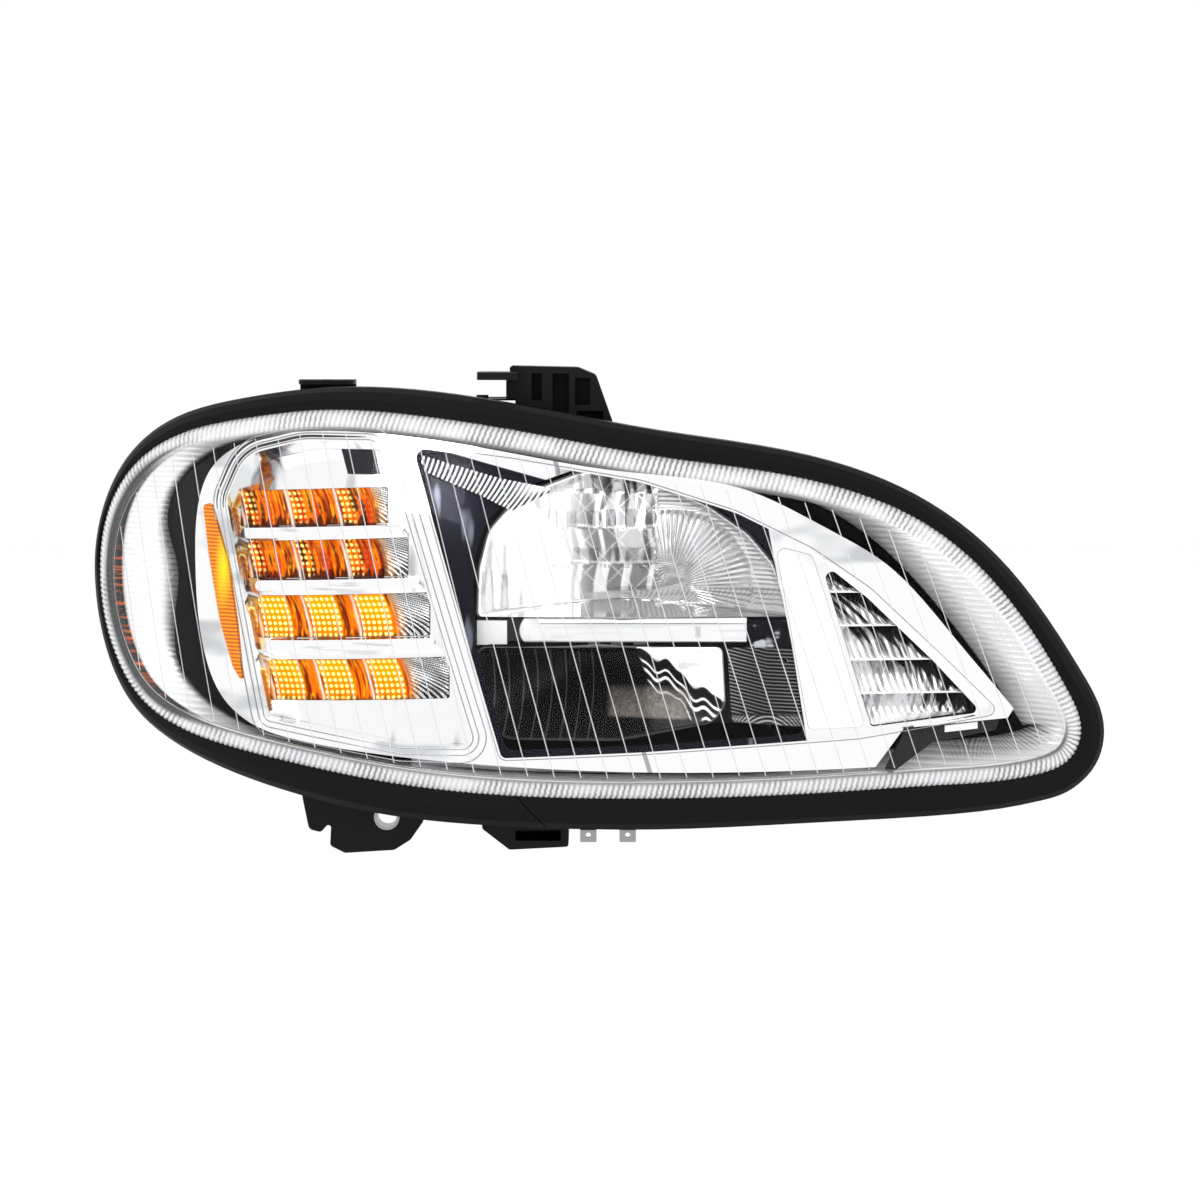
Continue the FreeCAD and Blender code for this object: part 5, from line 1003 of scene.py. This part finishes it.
def grained(name, colour, metallic=0.0, roughness=0.5, spread=0.12, mottle=0.2, scale=900.0, bump=0.15,
            coat=0.0, specular=0.5):
    """A plain finish with grain: colour mottle, roughness and a shallow bump from the shared group."""
    material, tree, shader = new_material(name, metallic, roughness)
    height = add_grain(tree, shader, (*colour, 1), roughness, spread, mottle, scale)
    if bump:
        add_bump(tree, shader, bump, GRAIN_HEIGHT, height)
    set_inputs(tree, shader, {"Coat Weight": coat, "Specular IOR Level": specular})
    return material


def toned(name, metallic, roughness, glow=0.0, spread=0.06, metal_mask=None, specular=0.5):
    """A finish whose colour is the piece's tone attribute, which holds painted shade, highlights and
    reflections besides colour; lit areas also give a little light, as painted light.
    """
    material, tree, shader = new_material(name, metallic, roughness)
    tone = attribute(tree, "tone", "Color")
    add_grain(tree, shader, tone, roughness, spread, TONED_MOTTLE, TONED_GRAIN_SCALE)
    set_inputs(tree, shader, {"Specular IOR Level": specular})
    if metal_mask:
        set_inputs(tree, shader, {"Metallic": attribute(tree, metal_mask)})
    if glow:
        light = mix(tree, attribute(tree, "lit"), (0, 0, 0, 1), tone)
        set_inputs(tree, shader, {"Emission Color": light, "Emission Strength": glow})
    return material


def clear_skin(name, roughness, base_alpha, ior):
    """Thin clear plastic: a mirror whose cover is the Fresnel reflection plus a little haze."""
    material, tree, shader = new_material(name, 1.0, roughness)
    fresnel = make_node(tree, "Fresnel", {"IOR": ior}).outputs[0]
    cover = calculate(tree, "MULTIPLY_ADD", object_noise(tree, 14.0), base_alpha, fresnel)
    set_inputs(tree, shader, {"Base Color": (1, 1, 1, 1), "Alpha": cover})
    return material


def rim_beads():
    """Clear beads seen against each other: pale and nearly closed, with painted shade in the grooves between
    them.
    """
    material, tree, shader = new_material("rim_beads", 0.0, 0.16)
    share = map_range(tree, object_noise(tree, 30.0), 0.35, 0.62, 0.25)
    depth = calculate(tree, "MULTIPLY", attribute(tree, "groove"), share)
    set_inputs(tree, shader, {
        "Base Color": mix(tree, depth, (0.93, 0.935, 0.95, 1), (0.09, 0.092, 0.10, 1)),
        "Alpha": map_range(tree, attribute(tree, "cover"), 0.0, 1.0, 0.06, 0.88), "Coat Weight": 0.4})
    return material


def ridge_clear():
    """Clear ridges in pale grey, a painted highlight of the light they catch, whose cover comes and goes with
    noise.
    """
    material, tree, shader = new_material("ridge_clear", 0.0, 0.2)
    cover = map_range(tree, object_noise(tree, 12.0), 0.35, 0.65, 0.42, 0.70)
    set_inputs(tree, shader, {"Base Color": (0.68, 0.69, 0.71, 1), "Alpha": cover})
    return material


def marker_amber():
    """Amber leaf: orange with a bright yellow hot spot above its middle, and darker level ribs."""
    material, tree, shader = new_material("marker_amber", 0.0, 0.12)
    place = object_place(tree)
    move = make_node(tree, "Mapping", {"Vector": place, "Location": HOT_SPOT_PLACE, "Scale": HOT_SPOT_SIZE},
                     vector_type="TEXTURE")
    spot = make_node(tree, "TexGradient", {"Vector": move.outputs["Vector"]}, gradient_type="SPHERICAL")
    ribs = make_node(tree, "TexWave", {"Vector": place, "Scale": 130.0, "Distortion": 1.2},
                     bands_direction="Z")
    body = mix(tree, ribs.outputs["Fac"], (0.92, 0.30, 0.0, 1), (0.48, 0.07, 0.0, 1))
    glow = mix(tree, spot.outputs["Fac"], body, (1.0, 0.70, 0.0, 1))
    add_bump(tree, shader, 0.35, 0.0005, ribs.outputs["Fac"])
    set_inputs(tree, shader, {"Base Color": glow, "Emission Color": glow, "Emission Strength": 0.22,
                              "Coat Weight": 0.2, "Specular IOR Level": 0.2})
    return material


def streaked_chrome(name, light, dark, share, stretch, roughness=0.06):
    """Bright metal with painted soft dark reflections: stretched noise picks where the darker tone shows."""
    material, tree, shader = new_material(name, 1.0, roughness)
    move = make_node(tree, "Mapping", {"Vector": object_place(tree), "Scale": stretch})
    streak = make_node(tree, "TexNoise", {"Vector": move.outputs["Vector"], "Scale": 1.0, "Detail": 2.0})
    pick = map_range(tree, streak.outputs["Fac"], share, share + STREAK_EDGE, interpolation_type="SMOOTHSTEP")
    set_inputs(tree, shader, {"Base Color": mix(tree, pick, (*light, 1), (*dark, 1))})
    return material


def add_patch(material, colour, edges):
    """A painted tone past every edge, for painted shade and painted highlights: each edge is a share of x and
    of z that rises from low to high.
    """
    tree = material.node_tree
    shader = tree.nodes["Principled BSDF"]
    tone = shader.inputs["Base Color"].links[0].from_socket
    place, mask = object_place(tree), None
    for x_share, z_share, low, high in edges:
        across = make_node(tree, "VectorMath", {0: place, 1: (x_share, 0, z_share)}, operation="DOT_PRODUCT")
        edge = map_range(tree, across.outputs["Value"], low, high)
        mask = edge if mask is None else calculate(tree, "MULTIPLY", mask, edge)
    set_inputs(tree, shader, {"Base Color": mix(tree, mask, tone, (*colour, 1))})


def dress(material, *nodes):
    """CAD nodes that show as they are get a finish of their own."""
    for node in nodes:
        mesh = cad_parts[node].data
        mesh.materials.clear()
        mesh.materials.append(material)


def clothe(piece, material):
    piece.data.materials.append(material)


GRAIN = make_grain_group()
make_studio()

dress(grained("housing_black", (0.010, 0.010, 0.011), 0.0, 0.46, 0.14, 0.35, 700.0, 0.25, 0.0, 0.22),
      "rear_housing", "service_cap", "driver_module", "main_connector", "aim_gear_case", "lens_sealant",
      "bezel_edge_strip")
dress(grained("bracket_black", (0.006, 0.006, 0.0066), 0.0, 0.44, 0.16, 0.4, 600.0, 0.2, 0.0, 0.14),
      "upper_bracket", "outer_bracket", "hook_bracket", "locator_block", "snubber_tip")
dress(grained("surround_rubber", (0.0045, 0.0045, 0.0048), 0.0, 0.44, 0.10, 0.25, 1400.0, 0.3, 0.0, 0.09),
      "rubber_surround")
dress(grained("seal_rubber", (0.20, 0.03, 0.02), 0.0, 0.6, 0.1, 0.3, 900.0, 0.2),
      "service_cap_seal", "signal_socket_seal")
dress(grained("vent_rubber", (0.02, 0.02, 0.02), 0.0, 0.65, 0.1, 0.3, 900.0, 0.2), "vent_caps")

bezel_chrome = streaked_chrome("bezel_chrome", (0.97, 0.975, 0.98), (0.62, 0.63, 0.65), 0.60, (9, 9, 30))
add_patch(bezel_chrome, (0.42, 0.43, 0.45), BEZEL_SHADE)
dress(bezel_chrome, "chrome_bezel")
turn_chrome = streaked_chrome("turn_chrome", (0.93, 0.935, 0.94), (0.40, 0.41, 0.43), 0.60, (40, 20, 8), 0.1)
add_patch(turn_chrome, (0.03, 0.03, 0.035), TURN_SHADE)
dress(turn_chrome, "turn_reflector")
dress(streaked_chrome("bar_chrome", (0.97, 0.97, 0.975), (0.72, 0.72, 0.74), 0.58, (20, 20, 260)),
      "turn_bars", "shelf_trim")
dark_chrome = streaked_chrome("dark_chrome", (0.012, 0.012, 0.018), (0.16, 0.165, 0.20), 0.60, (60, 20, 12),
                              0.16)
add_patch(dark_chrome, (0.95, 0.955, 0.96), MASK_BRIGHT_END)
add_patch(dark_chrome, (0.88, 0.885, 0.89), MASK_BRIGHT_CORNER)
dress(dark_chrome, "beam_mask")
dress(streaked_chrome("cheek_chrome", (0.010, 0.010, 0.014), (0.60, 0.61, 0.66), 0.60, (60, 30, 90), 0.12),
      "beam_side_panel")

panel_silver = grained("panel_silver", (0.93, 0.935, 0.94), 0.25, 0.34, 0.1, 0.30, 420.0, 0.5)
dress(panel_silver, "position_light_panel")
dress(grained("block_white", (0.84, 0.845, 0.85), 0.0, 0.4, 0.08, 0.1, 800.0, 0.1, 0.3), "shelf_end_block")
dress(grained("shelf_aluminium", (0.55, 0.56, 0.58), 0.9, 0.32, 0.1, 0.3, 800.0, 0.2),
      "led_shelf", "heat_sink")
dress(grained("carrier_grey", (0.05, 0.05, 0.055), 0.0, 0.5, 0.1, 0.3), "reflector_carrier")
dress(grained("plated_steel", (0.36, 0.36, 0.35), 1.0, 0.34, 0.16, 0.35, 500.0, 0.12),
      "pivot_ball_studs", "aim_rod", "aim_drive", "bezel_screws", "snubber_pin", "pivot_bush", "u_nuts")
dress(grained("pin_brass", (0.72, 0.55, 0.22), 1.0, 0.3, 0.1, 0.2), "connector_pins")
dress(grained("gear_white", (0.8, 0.79, 0.74), 0.0, 0.4), "aim_gear")
dress(grained("socket_grey", (0.11, 0.11, 0.12), 0.0, 0.45), "signal_socket")
dress(grained("circuit_board", (0.02, 0.12, 0.05), 0.0, 0.35, 0.1, 0.5, 260.0, 0.1, 0.4),
      "side_marker_board", "turn_led_board", "position_led_board")
dress(grained("led_amber", (1.0, 0.6, 0.1), 0.0, 0.3, 0.05, 0.1, 900.0, 0.0), "turn_leds", "signal_bulb")
dress(grained("led_white", (1.0, 0.97, 0.85), 0.0, 0.3, 0.05, 0.1, 900.0, 0.0),
      "position_leds", "low_beam_leds", "high_beam_leds")
dress(marker_amber(), "side_marker_lens")

lens, rim = make_lens()
clothe(lens, clear_skin("clear_lens", 0.01, 0.004, 1.10))
clothe(rim, rim_beads())
clothe(make_ridges(), ridge_clear())
clothe(make_skirt(), toned("skirt_silver", 0.35, 0.3, 0.0, 0.1))
amber = toned("turn_amber", 0.0, 0.2, 1.0, metal_mask="fan", specular=0.04)
for row in make_turn_rows():
    clothe(row, amber)
clothe(make_low_reflector(), toned("beam_chrome", 0.85, 0.10, 0.25))
clothe(make_high_reflector(), toned("beam_chrome_dark", 0.3, 0.2, 0.9, specular=0.05))
clothe(make_shelf_trim(), toned("trim_chrome", 0.5, 0.16, 0.4))
line_grey = grained("line_grey", (0.36, 0.365, 0.38), 0.9, 0.2, 0.08, 0.8, 300.0, 0.1)
arch_dark = grained("arch_dark", (0.07, 0.072, 0.08), 0.9, 0.2, 0.08, 0.8, 160.0, 0.1)
clothe(loop_ridges("turn_frame_lines", TURN_OPENING, (1.6, 5.4, 10.2), 0.8, BEZEL_DEPTH, 0.4), line_grey)
# Dark ridges round the arch stand for painted shade
clothe(loop_ridges("arch_shade_lines", TURN_OPENING, (3.4, 8.0), 1.9, BEZEL_DEPTH, 0.45, 0.2), arch_dark)
clothe(loop_ridges("main_frame_lines", MAIN_OPENING, (1.5,), 0.7, BEZEL_DEPTH, 0.4), line_grey)
clothe(make_strip_insert(), panel_silver)
clothe(make_apron_lip(), toned("lip_silver", 0.35, 0.3, 0.0, 0.1))
step_chrome = toned("step_chrome", 0.85, 0.14, 0.3)
clothe(make_step_reflector(), step_chrome)
clothe(make_flute_strip(), step_chrome)
clothe(make_side_panel(), toned("panel_black", 0.1, 0.35, specular=0.1))

bpy.ops.mesh.primitive_plane_add(size=FLOOR_SIZE, location=FLOOR_PLACE)
floor = bpy.context.object
floor.name = "floor"
clothe(floor, grained("floor_pale", (1.0, 1.0, 1.0), 0.0, 0.8, 0.05, 0.03, 40.0, 0.0))
